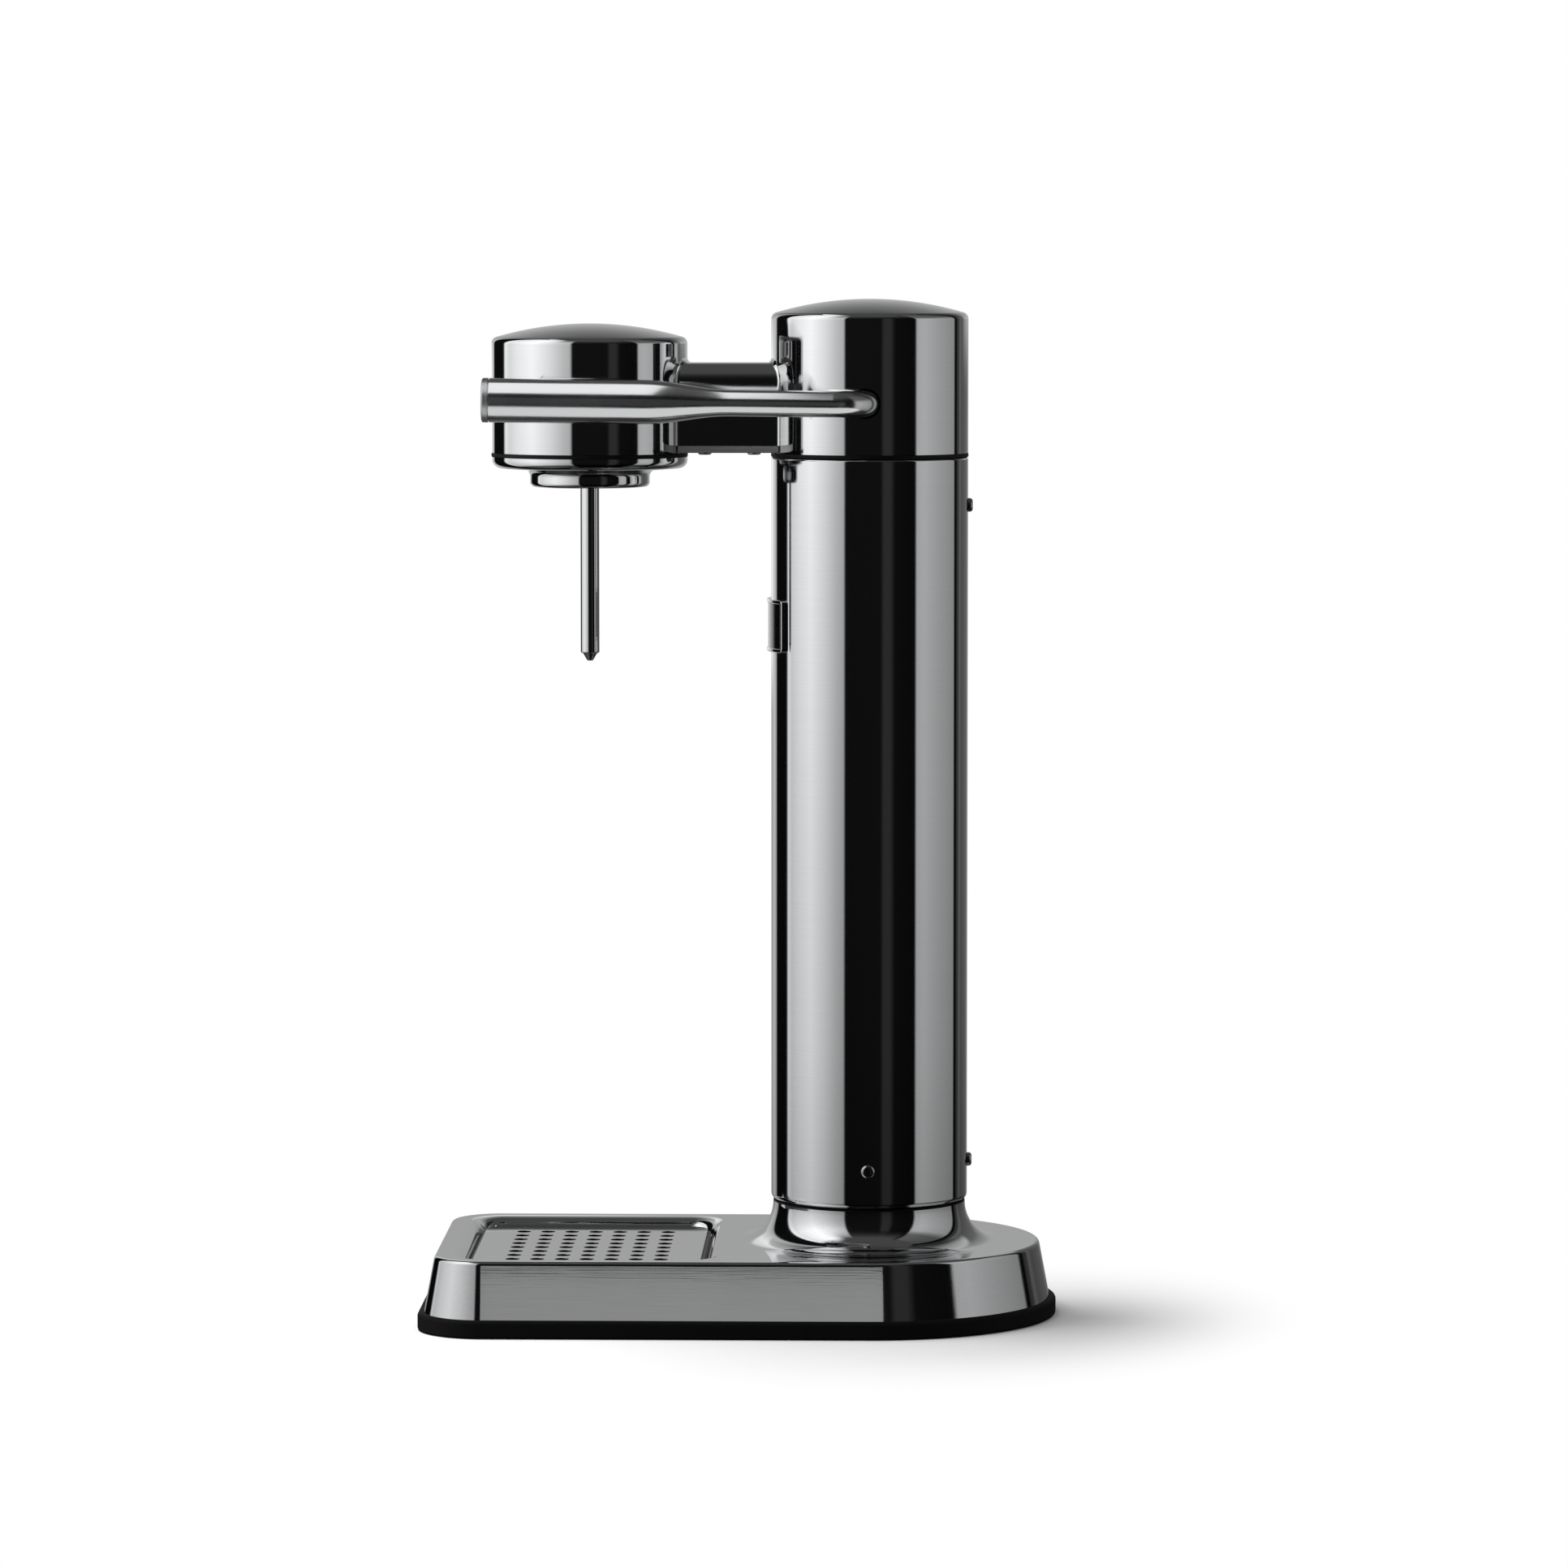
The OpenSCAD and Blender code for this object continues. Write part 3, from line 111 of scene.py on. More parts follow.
def arc(centre, radius, start, end, steps=8):
    sign = 1 if end > start else -1
    points = []
    for angle in evenSteps(math.radians(start), math.radians(end), steps):
        c, s = math.cos(angle), math.sin(angle)
        points.append((centre[0] + radius * c, centre[1] + radius * s, sign * c, sign * s))
    return points


samePlace = 1e-5


def profile(*parts):
    # strokes in order; a part that is a bare point is joined by straight lines
    strokes = []
    last = None
    for part in parts:
        stroke = [part] if isinstance(part, tuple) else part
        first = stroke[0][:2]
        if last is not None and math.dist(last, first) > samePlace:
            strokes.append(line(last, first))
        if len(stroke) > 1:
            strokes.append(stroke)
        last = stroke[-1][:2]
    return strokes


def closed(strokes):
    first, last = strokes[0][0][:2], strokes[-1][-1][:2]
    if math.dist(first, last) > samePlace:
        strokes = strokes + [line(last, first)]
    return strokes


def sweep(strokes, stations):
    # carries a profile round stations (x, y, outward x, outward y); gives faces of (place, normal) corners
    faces = []
    for near, far in zip(stations, stations[1:] + stations[:1]):
        for stroke in strokes:
            for a, b in zip(stroke, stroke[1:]):
                corners = []
                for point, station in ((a, near), (b, near), (b, far), (a, far)):
                    r, z, nr, nz = point
                    x, y, ux, uy = station
                    place = (x + r * ux, y + r * uy, z)
                    if not corners or math.dist(place, corners[-1][0]) > samePlace:
                        corners.append((place, (nr * ux, nr * uy, nz)))
                if math.dist(corners[0][0], corners[-1][0]) <= samePlace:
                    corners.pop()
                if len(corners) > 2:
                    faces.append(corners)
    return faces


def quads(near, far):
    # faces between two closed rows of (place, normal) corners
    faces = []
    for i in range(len(near)):
        j = (i + 1) % len(near)
        faces.append([near[i], near[j], far[j], far[i]])
    return faces


def turnStations(x, y, start, turn, steps):
    # stations that turn about one place; start and turn in degrees
    angles = [math.radians(start + turn * i / steps) for i in range(steps + 1)]
    return [(x, y, math.cos(a), math.sin(a)) for a in angles]


def roundStations(x, steps=192):
    return turnStations(x, 0.0, 0.0, 360.0, steps)[:-1]


def cornerStations(centreX, halfX, halfY, steps):
    # the four corners of a rectangle in turn
    signs = ((1, 1), (-1, 1), (-1, -1), (1, -1))
    return [turnStations(centreX + sx * halfX, sy * halfY, 90 * quarter, 90, steps)
            for quarter, (sx, sy) in enumerate(signs)]


def flatFace(z, up, outer, holes=()):
    # a level face with holes, cut into triangles
    loops = [[Vector((x, y, 0)) for x, y in loop] for loop in (outer, *holes)]
    flat = [p for loop in loops for p in loop]
    normal = (0, 0, 1 if up else -1)
    return [[((flat[i].x, flat[i].y, z), normal) for i in triangle] for triangle in tessellate_polygon(loops)]


def ring(strokePoint, stations):
    return [(x + strokePoint * ux, y + strokePoint * uy) for x, y, ux, uy in stations]


def turned(faces, matrix):
    spin = matrix.to_3x3()
    return [[(tuple(matrix @ Vector(p)), tuple(spin @ Vector(n))) for p, n in face] for face in faces]


def finishPiece(piece, body, replaces):
    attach(piece, body)
    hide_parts(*replaces)
    return piece


def makePiece(name, faces, material, replaces, body="root"):
    # one mesh with shared corners and exact normals, faces turned outwards
    places, order, polygons, normals = {}, [], [], []
    for face in faces:
        corners = [(Vector(p), Vector(n)) for p, n in face]
        points = [p for p, n in corners]
        area = Vector((0, 0, 0))
        for a, b in zip(points, points[1:] + points[:1]):
            area += a.cross(b)
        mean = sum((n for p, n in corners), Vector((0, 0, 0)))
        if area.dot(mean) < 0:
            corners.reverse()
        keys = []
        for p, n in corners:
            key = tuple(round(c, 3) for c in p)
            if key not in places:
                places[key] = len(order)
                order.append([c * millimetre for c in p])
            keys.append(places[key])
        if len(set(keys)) == len(keys):
            polygons.append(keys)
            normals.extend(n.normalized() for p, n in corners)
    mesh = bpy.data.meshes.new(name)
    mesh.from_pydata(order, [], polygons)
    mesh.validate()
    mesh.shade_smooth()
    if len(mesh.loops) == len(normals):
        mesh.normals_split_custom_set(normals)
    mesh.materials.append(material)
    return finishPiece(addObject(name, mesh), body, replaces)


def makeRound(name, x, section, material, replaces, steps=192, slot="polished_steel"):
    # a lathe form about an upright line at x
    return makePiece(name, sweep(closed(section), roundStations(x, steps)), material, replaces)


def bakePiece(piece, body, replaces):
    # keeps what the live modifiers make as a plain mesh
    graph = bpy.context.evaluated_depsgraph_get()
    mesh = bpy.data.meshes.new_from_object(piece.evaluated_get(graph))
    piece.modifiers.clear()
    piece.data = mesh
    return finishPiece(piece, body, replaces)


def breakEdges(piece, width=0.0, segments=2, sharpDegrees=50, keepSharp=True):
    # a fine bevel on crisp edges, with the faces kept flat to the eye; width in millimetres
    if width:
        bevel = piece.modifiers.new("broken_edges", "BEVEL")
        bevel.width, bevel.segments = width * millimetre, segments
        bevel.limit_method, bevel.angle_limit = "ANGLE", math.radians(sharpDegrees)
    piece.modifiers.new("flat_faces", "WEIGHTED_NORMAL").keep_sharp = keepSharp


# materials

def newMaterial(name, settings):
    material = bpy.data.materials.new(name)
    material.use_nodes = True
    tree = material.node_tree
    shader = addNode(tree, tree.nodes["Principled BSDF"], settings)
    return material, tree, shader, addNode(tree, "ShaderNodeTexCoord").outputs["Object"]


def perMetre(size):
    # a pattern's scale from the real size of its grain in millimetres
    return 1000 / size


def hairlines(tree, place, spacing, length, direction):
    # noise that is fine across the grinding lines and long along them; spacing and length in millimetres
    scale = [perMetre(spacing if axis in direction else length) for axis in "XYZ"]
    stretched = addNode(tree, "ShaderNodeMapping", {"Scale": scale}, Vector=place)
    return addNode(tree, noiseNode, {"Scale": 1.0, "Detail": 2.0, "Roughness": 0.6}, Vector=stretched)


def polishedSteel(name, direction, changes):
    # AISI 304 sheet, ground and buffed: a mirror with faint lines of the belt across the form
    look = {**steelLook, **changes}
    colour, roughness = hexColour(look["colour"]), look["roughness"]
    material, tree, shader, place = newMaterial(name, {
        "Metallic": 1.0, "Base Color": colour, "Roughness": roughness})
    lines = hairlines(tree, place, look["lineSpacing"], look["lineLength"], direction)
    clouds = addNode(tree, noiseNode, {"Scale": perMetre(look["cloudSize"]), "Detail": 3.0}, Vector=place)
    blend = addNode(tree, mathNode, times, in0=lines, in1=clouds)
    rough = addNode(tree, rangeNode, {"From Min": 0.1, "From Max": 0.45, "To Min": roughness * 0.8,
                                      "To Max": roughness * 1.3}, Value=blend)
    # the belt leaves lines of slightly uneven tone
    worn = [c * look["lineTone"] for c in colour[:3]] + [1.0]
    share = addNode(tree, rangeNode, {"From Min": 0.3, "From Max": 0.7}, Value=lines)
    tone = addNode(tree, mixNode, {"data_type": "RGBA", 6: worn, 7: colour}, in0=share).outputs[2]
    bump = addNode(tree, bumpNode, {"Strength": look["lineStrength"], "Distance": 0.00002}, Height=lines)
    addNode(tree, shader, Roughness=rough, Base_Color=tone, Normal=bump)
    return material


# the real lines are finer than a tenth of a millimetre, and are drawn at half a millimetre so that they show
steelLook = {"colour": "#cfd0d1", "roughness": 0.05, "lineSpacing": 0.5, "lineLength": 40, "cloudSize": 30,
             "lineStrength": 0.12, "lineTone": 0.97}
baseSteel = polishedSteel("pressed_304_steel_base", "YZ", {
    "roughness": 0.055, "lineStrength": 0.22, "lineTone": 0.94})
columnSteel = polishedSteel("buffed_304_steel_round", "Z", {})
stripSteel = polishedSteel("linished_304_steel_strip", "Z", {"roughness": 0.5, "lineStrength": 0.3})
capSteel = polishedSteel("turned_304_steel_cap", "X", {
    "colour": "#a6a7a8", "roughness": 0.34, "lineStrength": 0.25})
etchedSteel = polishedSteel("etched_304_steel_field", "Z", {
    "colour": "#828384", "roughness": 0.13, "lineStrength": 0.2})
leverSteel = polishedSteel("satin_304_steel_bar", "YZ", {"roughness": 0.17, "lineStrength": 0.25})
plateSteel = polishedSteel("pressed_304_steel_plate", "Y", {"roughness": 0.07, "lineStrength": 0.2})


def mouldedRubber(name, colour, roughness, grainSize=0.9):
    # black EPDM, moulded: matt with a fine soft grain, drawn coarser than it is so that it shows
    material, tree, shader, place = newMaterial(name, {
        "Base Color": hexColour(colour), "Roughness": roughness, "Specular IOR Level": 0.2})
    grain = addNode(tree, noiseNode, {"Scale": perMetre(grainSize), "Detail": 4.0}, Vector=place)
    shade = addNode(tree, rangeNode, {"To Min": roughness * 0.85, "To Max": roughness * 1.15}, Value=grain)
    bump = addNode(tree, bumpNode, {"Strength": 0.3, "Distance": 0.00005}, Height=grain)
    addNode(tree, shader, Roughness=shade, Normal=bump)
    return material


footRubber = mouldedRubber("moulded_epdm_foot", "#070708", 0.72)
sealRubber = mouldedRubber("moulded_epdm_seal", "#060607", 0.6)


def mouldedPlastic(name, colour, grainSize=0.5):
    # glass-filled nylon, spark-eroded mould: even fine grain with a dull sheen
    material, tree, shader, place = newMaterial(name, {
        "Base Color": hexColour(colour), "Roughness": 0.48, "IOR": 1.53})
    grain = addNode(tree, "ShaderNodeTexVoronoi", {"Scale": perMetre(grainSize)}, Vector=place)
    bump = addNode(tree, bumpNode, {"Strength": 0.18, "Distance": 0.00004}, Height=grain)
    addNode(tree, shader, Normal=bump)
    return material


nylon = mouldedPlastic("moulded_glass_filled_nylon", "#0d0d0e")


def machinedMetal(name, colour, roughness, tint, ringSpacing=0.35, ringLength=12, toneSize=9):
    # turned on a lathe: close tool rings and slightly uneven tone
    material, tree, shader, place = newMaterial(name, {
        "Metallic": 1.0, "Base Color": hexColour(colour), "Roughness": roughness})
    rings = hairlines(tree, place, ringSpacing, ringLength, "Z")
    tone = addNode(tree, noiseNode, {"Scale": perMetre(toneSize), "Detail": 3.0}, Vector=place)
    both = {"data_type": "RGBA", 6: hexColour(colour), 7: hexColour(tint)}
    mixed = addNode(tree, mixNode, both, in0=tone).outputs[2]
    bump = addNode(tree, bumpNode, {"Strength": 0.3, "Distance": 0.00003}, Height=rings)
    addNode(tree, shader, Base_Color=mixed, Normal=bump)
    return material


brass = machinedMetal("turned_cz121_brass", "#d9b26a", 0.24, "#c99f57")
bronze = machinedMetal("oil_filled_sintered_bronze", "#3d3128", 0.5, "#332820")
spunAluminium = machinedMetal("brushed_6061_cylinder", "#b9bcc0", 0.34, "#a9acb0")
fastenerSteel = machinedMetal("a2_screw_steel", "#b4b5b8", 0.22, "#98999c")
springSteel = machinedMetal("drawn_302_spring_wire", "#9a9ba0", 0.3, "#84858a")


def castMetal(name, colour, pebbleSize=1.2):
    # pressure die-cast aluminium, left as cast: soft grey with a fine pebbled skin
    material, tree, shader, place = newMaterial(name, {
        "Metallic": 1.0, "Base Color": hexColour(colour), "Roughness": 0.5})
    skin = addNode(tree, noiseNode, {"Scale": perMetre(pebbleSize), "Detail": 5.0}, Vector=place)
    bump = addNode(tree, bumpNode, {"Strength": 0.35, "Distance": 0.00008}, Height=skin)
    addNode(tree, shader, Normal=bump)
    return material


castAluminium = castMetal("die_cast_aluminium", "#a5a8aa")
print("materials made")


# node trees for what repeats

def newTree(name, sizes):
    # sizes: input name -> value, whole numbers as counts and the rest as lengths in metres
    tree = bpy.data.node_groups.new(name, "GeometryNodeTree")
    tree.interface.new_socket("Places", in_out="INPUT", socket_type="NodeSocketGeometry")
    for key, value in sizes.items():
        kind = "NodeSocketInt" if isinstance(value, int) else "NodeSocketFloat"
        tree.interface.new_socket(key, in_out="INPUT", socket_type=kind)
    tree.interface.new_socket("Finish", in_out="INPUT", socket_type="NodeSocketMaterial")
    tree.interface.new_socket("Pieces", in_out="OUTPUT", socket_type="NodeSocketGeometry")
    return tree, addNode(tree, "NodeGroupInput").outputs


def endTree(tree, sizes, placed, sharpDegrees=35):
    # smooth faces with crisp edges, real geometry, one finish
    mesh = addNode(tree, realNode, Geometry=placed)
    angle = addNode(tree, "GeometryNodeInputMeshEdgeAngle")
    belowSharp = {"operation": "LESS_THAN", 1: math.radians(sharpDegrees)}
    soft = addNode(tree, "FunctionNodeCompare", belowSharp, in0=angle)
    faces = addNode(tree, "GeometryNodeSetShadeSmooth", {"domain": "FACE"}, Geometry=mesh)
    edges = addNode(tree, "GeometryNodeSetShadeSmooth", {"domain": "EDGE"}, Geometry=faces, Shade_Smooth=soft)
    real = addNode(tree, realNode, Geometry=edges)
    painted = addNode(tree, "GeometryNodeSetMaterial", Geometry=real, Material=sizes["Finish"])
    addNode(tree, "NodeGroupOutput", Pieces=painted)


def runTree(tree, name, places, ways, sizes, material):
    # places in millimetres, each with the way that the piece points; the object's modifier stays live
    mesh = bpy.data.meshes.new(name)
    mesh.from_pydata([[c * millimetre for c in place] for place in places], [], [])
    pointing = mesh.attributes.new("way", "FLOAT_VECTOR", "POINT")
    for item, way in zip(pointing.data, ways):
        item.vector = way
    piece = addObject(name, mesh)
    nodes = piece.modifiers.new("pieces", "NODES")
    nodes.node_group = tree
    values = {key: value if isinstance(value, int) else value * millimetre for key, value in sizes.items()}
    values["Finish"] = material
    for socket in tree.interface.items_tree:
        if socket.in_out == "INPUT" and socket.name in values:
            nodes[socket.identifier] = values[socket.name]
    return piece


screwSize = {"Head Radius": 2.8, "Head Height": 1.9, "Edge Round": 1.235, "Socket Radius": 1.4,
             "Socket Floor": 0.665, "Thread Radius": 1.5, "Thread Length": 8.0}


def screwTree():
    # a turned button head, a hexagon broached into it and a plain thread, put on every place
    tree, sizes = newTree("button_screws", screwSize)
    radius, height, edge = sizes["Head Radius"], sizes["Head Height"], sizes["Edge Round"]
    rows, overlap = 7, 0.0002
    # rows of a plain cylinder, drawn in and up along the edge's round
    head = addNode(tree, cylinderNode, {"Vertices": 40, "Side Segments": rows}, Radius=radius, Depth=height)
    position = addNode(tree, "GeometryNodeInputPosition")
    x, y, z = addNode(tree, "ShaderNodeSeparateXYZ", Vector=position).outputs
    share = addNode(tree, mathNode, plus, in0=addNode(tree, mathNode, over, in0=z, in1=height), in1=0.5)
    turn = addNode(tree, rangeNode, {"From Min": 1 / rows, "To Max": math.pi / 2}, Value=share)
    cosine = addNode(tree, mathNode, {"operation": "COSINE"}, in0=turn)
    sine = addNode(tree, mathNode, {"operation": "SINE"}, in0=turn)
    short = addNode(tree, mathNode, times, in0=edge, in1=addNode(tree, mathNode, minus, in0=1.0, in1=cosine))
    keep = addNode(tree, mathNode, minus, in0=1.0, in1=addNode(tree, mathNode, over, in0=short, in1=radius))
    wall = addNode(tree, mathNode, minus, in0=height, in1=edge)
    rise = addNode(tree, mathNode, plus, in0=wall, in1=addNode(tree, mathNode, times, in0=edge, in1=sine))
    seated = addNode(tree, mathNode, {"operation": "GREATER_THAN"}, in0=share, in1=0.5 / rows)
    parts = ((x, keep), (y, keep), (rise, seated))
    moved = [addNode(tree, mathNode, times, in0=part, in1=factor) for part, factor in parts]
    place = addNode(tree, vectorNode, X=moved[0], Y=moved[1], Z=moved[2])
    button = addNode(tree, "GeometryNodeSetPosition", Geometry=head, Position=place)
    # the thread starts a little inside the head
    length = sizes["Thread Length"]
    depth = addNode(tree, mathNode, plus, in0=length, in1=overlap)
    thread = addNode(tree, cylinderNode, {"Vertices": 24}, Radius=sizes["Thread Radius"], Depth=depth)
    halfLength = addNode(tree, mathNode, times, in0=length, in1=0.5)
    down = addNode(tree, mathNode, minus, in0=overlap / 2, in1=halfLength)
    sunk = addNode(tree, vectorNode, Z=down)
    thread = addNode(tree, "GeometryNodeTransform", Geometry=thread, Translation=sunk)
    blank = addNode(tree, "GeometryNodeMeshBoolean", {"operation": "UNION"}, Mesh_2=thread)
    addNode(tree, blank, Mesh_2=button)
    hexagon = addNode(tree, cylinderNode, {"Vertices": 6}, Radius=sizes["Socket Radius"], Depth=height)
    halfHeight = addNode(tree, mathNode, times, in0=height, in1=0.5)
    lift = addNode(tree, mathNode, plus, in0=sizes["Socket Floor"], in1=halfHeight)
    raised = addNode(tree, vectorNode, Z=lift)
    broach = addNode(tree, "GeometryNodeTransform", Geometry=hexagon, Translation=raised)
    screw = addNode(tree, "GeometryNodeMeshBoolean", {"operation": "DIFFERENCE"}, Mesh_1=blank, Mesh_2=broach)
    way = addNode(tree, "GeometryNodeInputNamedAttribute", {"data_type": "FLOAT_VECTOR", "Name": "way"})
    turnTo = addNode(tree, "FunctionNodeAlignRotationToVector", {"axis": "Z"}, Vector=way)
    endTree(tree, sizes, addNode(tree, instanceNode, Points=sizes["Places"], Instance=screw, Rotation=turnTo))
    return tree


plateSize = {"Reach": 92.2, "Span": 110.2, "Corner": 8.1, "Thickness": 1.2, "Hole Radius": 2.9,
             "Holes Along": 7, "Holes Across": 8, "Pitch Along": 10.0, "Pitch Across": 11.0}


def plateTree():
    # a blank with round corners, punched on a grid
    tree, sizes = newTree("punched_plate", plateSize)
    along, across = sizes["Holes Along"], sizes["Holes Across"]
    kind, corner = "GeometryNodeCurvePrimitiveQuadrilateral", {"mode": "POLY", "Count": 12}
    outline = addNode(tree, kind, Width=sizes["Reach"], Height=sizes["Span"])
    rounded = addNode(tree, "GeometryNodeFilletCurve", corner, Curve=outline, Radius=sizes["Corner"])
    reach = []
    for count, pitch in ((along, sizes["Pitch Along"]), (across, sizes["Pitch Across"])):
        gaps = addNode(tree, mathNode, minus, in0=count, in1=1)
        reach.append(addNode(tree, mathNode, times, in0=gaps, in1=pitch))
    grid = addNode(tree, "GeometryNodeMeshGrid", Size_X=reach[0], Size_Y=reach[1], Vertices_X=along,
                   Vertices_Y=across)
    hole = addNode(tree, "GeometryNodeCurvePrimitiveCircle", {"mode": "RADIUS", "Resolution": 36},
                   Radius=sizes["Hole Radius"])
    holes = addNode(tree, instanceNode, Points=grid, Instance=hole)
    holes = addNode(tree, realNode, Geometry=holes)
    curves = addNode(tree, joinNode, Geometry=holes)
    addNode(tree, curves, Geometry=rounded)
    sheet = addNode(tree, "GeometryNodeFillCurve", {"mode": "NGONS"}, Curve=curves)
    up = addNode(tree, vectorNode, Z=sizes["Thickness"])
    together = {"mode": "FACES", "Offset Scale": 1.0, "Individual": False}
    raised = addNode(tree, "GeometryNodeExtrudeMesh", together, Mesh=sheet, Offset=up)
    below = addNode(tree, "GeometryNodeFlipFaces", Mesh=sheet)
    both = addNode(tree, joinNode, Geometry=below)
    addNode(tree, both, Geometry=raised)
    plate = addNode(tree, "GeometryNodeMergeByDistance", {"Distance": 0.00001}, Geometry=both)
    endTree(tree, sizes, addNode(tree, instanceNode, Points=sizes["Places"], Instance=plate))
    return tree


# nodes that keep their own shapes; one that is not named here takes the column's steel
nodeFinishes = [
    (nylon, "base_plate drip_tray lower_ring ring_nut bottle_socket"),
    (sealRubber, "bottle_seal cylinder_seal plunger_seal"),
    (castAluminium, "upper_frame"),
    (spunAluminium, "gas_cylinder"),
    (brass, "nozzle_block relief_valve relief_poppet burst_plug"),
    (brass, "pipe_nuts valve_housing cylinder_valve valve_plunger"),
    (bronze, "lever_bushes"),
    (springSteel, "lever_clip"),
    (plateSteel, "gas_pipe"),
    (fastenerSteel, "lever_cam cam_pin housing_screws nozzle_screws valve_screws"),
]
finishOf = {name: finish for finish, names in nodeFinishes for name in names.split()}
for nodeName, nodeObject in cadNodes.items():
    nodeObject.data.materials.clear()
    nodeObject.data.materials.append(finishOf.get(nodeName, columnSteel))
print("finishes set on the carried-over nodes")


# base: outline stations shared by shell and rubber ring

def baseStations():
    columnX, cornerX, cornerY = axes["columnX"], axes["cornerX"], axes["cornerY"]
    quarter = turnStations(cornerX, cornerY, 90, 90, 40)
    corner = [(x - cornerY * c, y - cornerY * s, c, s) for x, y, c, s in quarter]
    mirrored = [(x, -y, ux, -uy) for x, y, ux, uy in reversed(corner)]
    return turnStations(columnX, 0.0, -90, 180, 128) + corner + mirrored


baseShape = {
    "skirtLow": 73.8, "skirtTop": 69.8, "skirtLean": 9.9, "footTop": 7.2, "edge": 2.0, "sheet": 1.5,
    "recessX": 52.0, "recessY": 61.0, "recessCorner": 14.0, "lipRound": 3.5, "lipRoll": 8.0, "lipTurn": 150.0,
    "lipLow": 9.65, "ledge": 6.3, "ledgeZ": 24.6, "ledgeWall": 1.2,
    "flare": 15.5, "neck": 39.2, "neckBore": 37.6, "neckTop": 46.4,
}


def buildBase():
    s = baseShape
    deck, sheet, edge, footTop = axes["deckZ"], s["sheet"], s["edge"], s["footTop"]
    corner = s["recessCorner"]
    around, neckRound = baseStations(), roundStations(axes["columnX"], steps=160)
    recess = sum(cornerStations(axes["headX"], s["recessX"] - corner, s["recessY"] - corner, 24), [])
    inside = s["skirtTop"] - edge
    skirt = profile((s["skirtLow"], footTop), arc((inside, deck - edge), edge, s["skirtLean"], 90, 8))
    under = profile((inside, deck - sheet), (s["skirtLow"] - sheet, footTop), (s["skirtLow"], footTop))
    roll = (corner + s["lipRound"], deck - s["lipRoll"])
    ledgeLow = s["ledgeZ"] - s["ledgeWall"]
    lip = profile(
        arc(roll, s["lipRoll"], 90, s["lipTurn"], 14), (s["lipLow"], s["ledgeZ"]), (s["ledge"], s["ledgeZ"]),
        (s["ledge"], ledgeLow), (s["lipLow"] + sheet, ledgeLow),
        arc(roll, s["lipRoll"] - sheet, s["lipTurn"], 90, 10))
    flareR = s["neck"] + s["flare"]
    neck = profile(
        arc((flareR, deck + s["flare"]), s["flare"], 270, 180, 24),
        (s["neck"], s["neckTop"]), (s["neckBore"], s["neckTop"]), (s["neckBore"], deck - sheet))
    faces = sweep(skirt, around) + sweep(under, around) + sweep(lip, recess) + sweep(neck, neckRound)
    outline, opening = ring(inside, around), ring(roll[0], recess)
    faces += flatFace(deck, True, outline, [opening, ring(flareR, neckRound)])
    faces += flatFace(deck - sheet, False, outline, [opening, ring(s["neckBore"], neckRound)])
    makePiece("base_shell_sheet", faces, baseSteel, ["base_shell"])


footShape = {"outer": 76.47, "inner": 69.5, "height": 7.2, "round": 1.5, "lowRound": 1.0,
             "grooveLow": 2.78, "grooveHigh": 5.32, "groove": 2.0}


def buildFoot():
    s = footShape
    top, low, inner, grooved = s["round"], s["lowRound"], s["inner"], s["inner"] + s["groove"]
    section = closed(profile(
        arc((s["outer"] - low, low), low, -90, 0, 5),
        arc((s["outer"] - top, s["height"] - top), top, 0, 90, 6),
        (inner, s["height"]), (inner, s["grooveHigh"]), (grooved, s["grooveHigh"]),
        (grooved, s["grooveLow"]), (inner, s["grooveLow"]), (inner, 0.0)))
    faces = sweep(section, baseStations())
    makePiece("foot_rubber_ring", faces, footRubber, ["foot_ring"])


punchEdge = 0.06


def buildDripPlate():
    # laid on the pan's rim in the recess
    place = (axes["headX"], 0.0, axes["plateZ"] - plateSize["Thickness"])
    piece = runTree(plateTree(), "drip_plate_punched", [place], [(0, 0, 1)], plateSize, plateSteel)
    breakEdges(piece, punchEdge)
    bakePiece(piece, "drip_plate", ["drip_plate"])


buildBase()
buildFoot()
buildDripPlate()
print("base, foot and drip plate built")

# column

columnShape = {"low": 47.0, "top": 350.0, "bore": 38.5, "foot": 2.5, "footBack": 1.0, "rim": 1.0}


def buildColumn():
    s, r = columnShape, axes["columnR"]
    roll = (r - s["foot"], s["low"] + s["foot"])
    wall = profile(
        arc(roll, s["foot"], -90, 0, 10), arc((r - s["rim"], s["top"] - s["rim"]), s["rim"], 0, 90, 6),
        (s["bore"], s["top"]), arc(roll, s["footBack"], 0, -90, 6))
    makeRound("column_tube_drawn", axes["columnX"], wall, columnSteel, ["column_tube"], steps=224)


# the etched field is told by the height of its corners: at most fieldOver above it, within fieldDepth
badgeShape = {"angle": 65.0, "low": 271.3, "height": 21.3, "thick": 1.3, "rim": 1.6, "rimHeight": 0.5,
              "edge": 0.48, "corner": 1.8, "fieldOver": 0.05, "fieldDepth": 0.2}


def acrossRing(points, height, up):
    # upright strips that fill a flat ring with two points, or a whole side, at each place along it
    columns = {}
    for x, y in points:
        columns.setdefault(round(x, 2), []).append((x, y))
    places = sorted(columns)
    strips = []
    for a, b in zip(places, places[1:]):
        left = sorted(columns[a], key=lambda point: -point[1])
        right = sorted(columns[b], key=lambda point: point[1])
        strips.append([((x, y, height), (0, 0, up)) for x, y in left + right])
    return strips


def bentRound(corner, middleZ):
    # from flat (along the arc, up, off the wall) to the front of the column
    (u, v, w), (nu, nv, nw) = corner
    a, r = math.radians(180) + u / axes["columnR"], axes["columnR"] + w
    c, t = math.cos(a), math.sin(a)
    return (axes["columnX"] + r * c, r * t, middleZ + v), (nw * c - nu * t, nw * t + nu * c, nv)


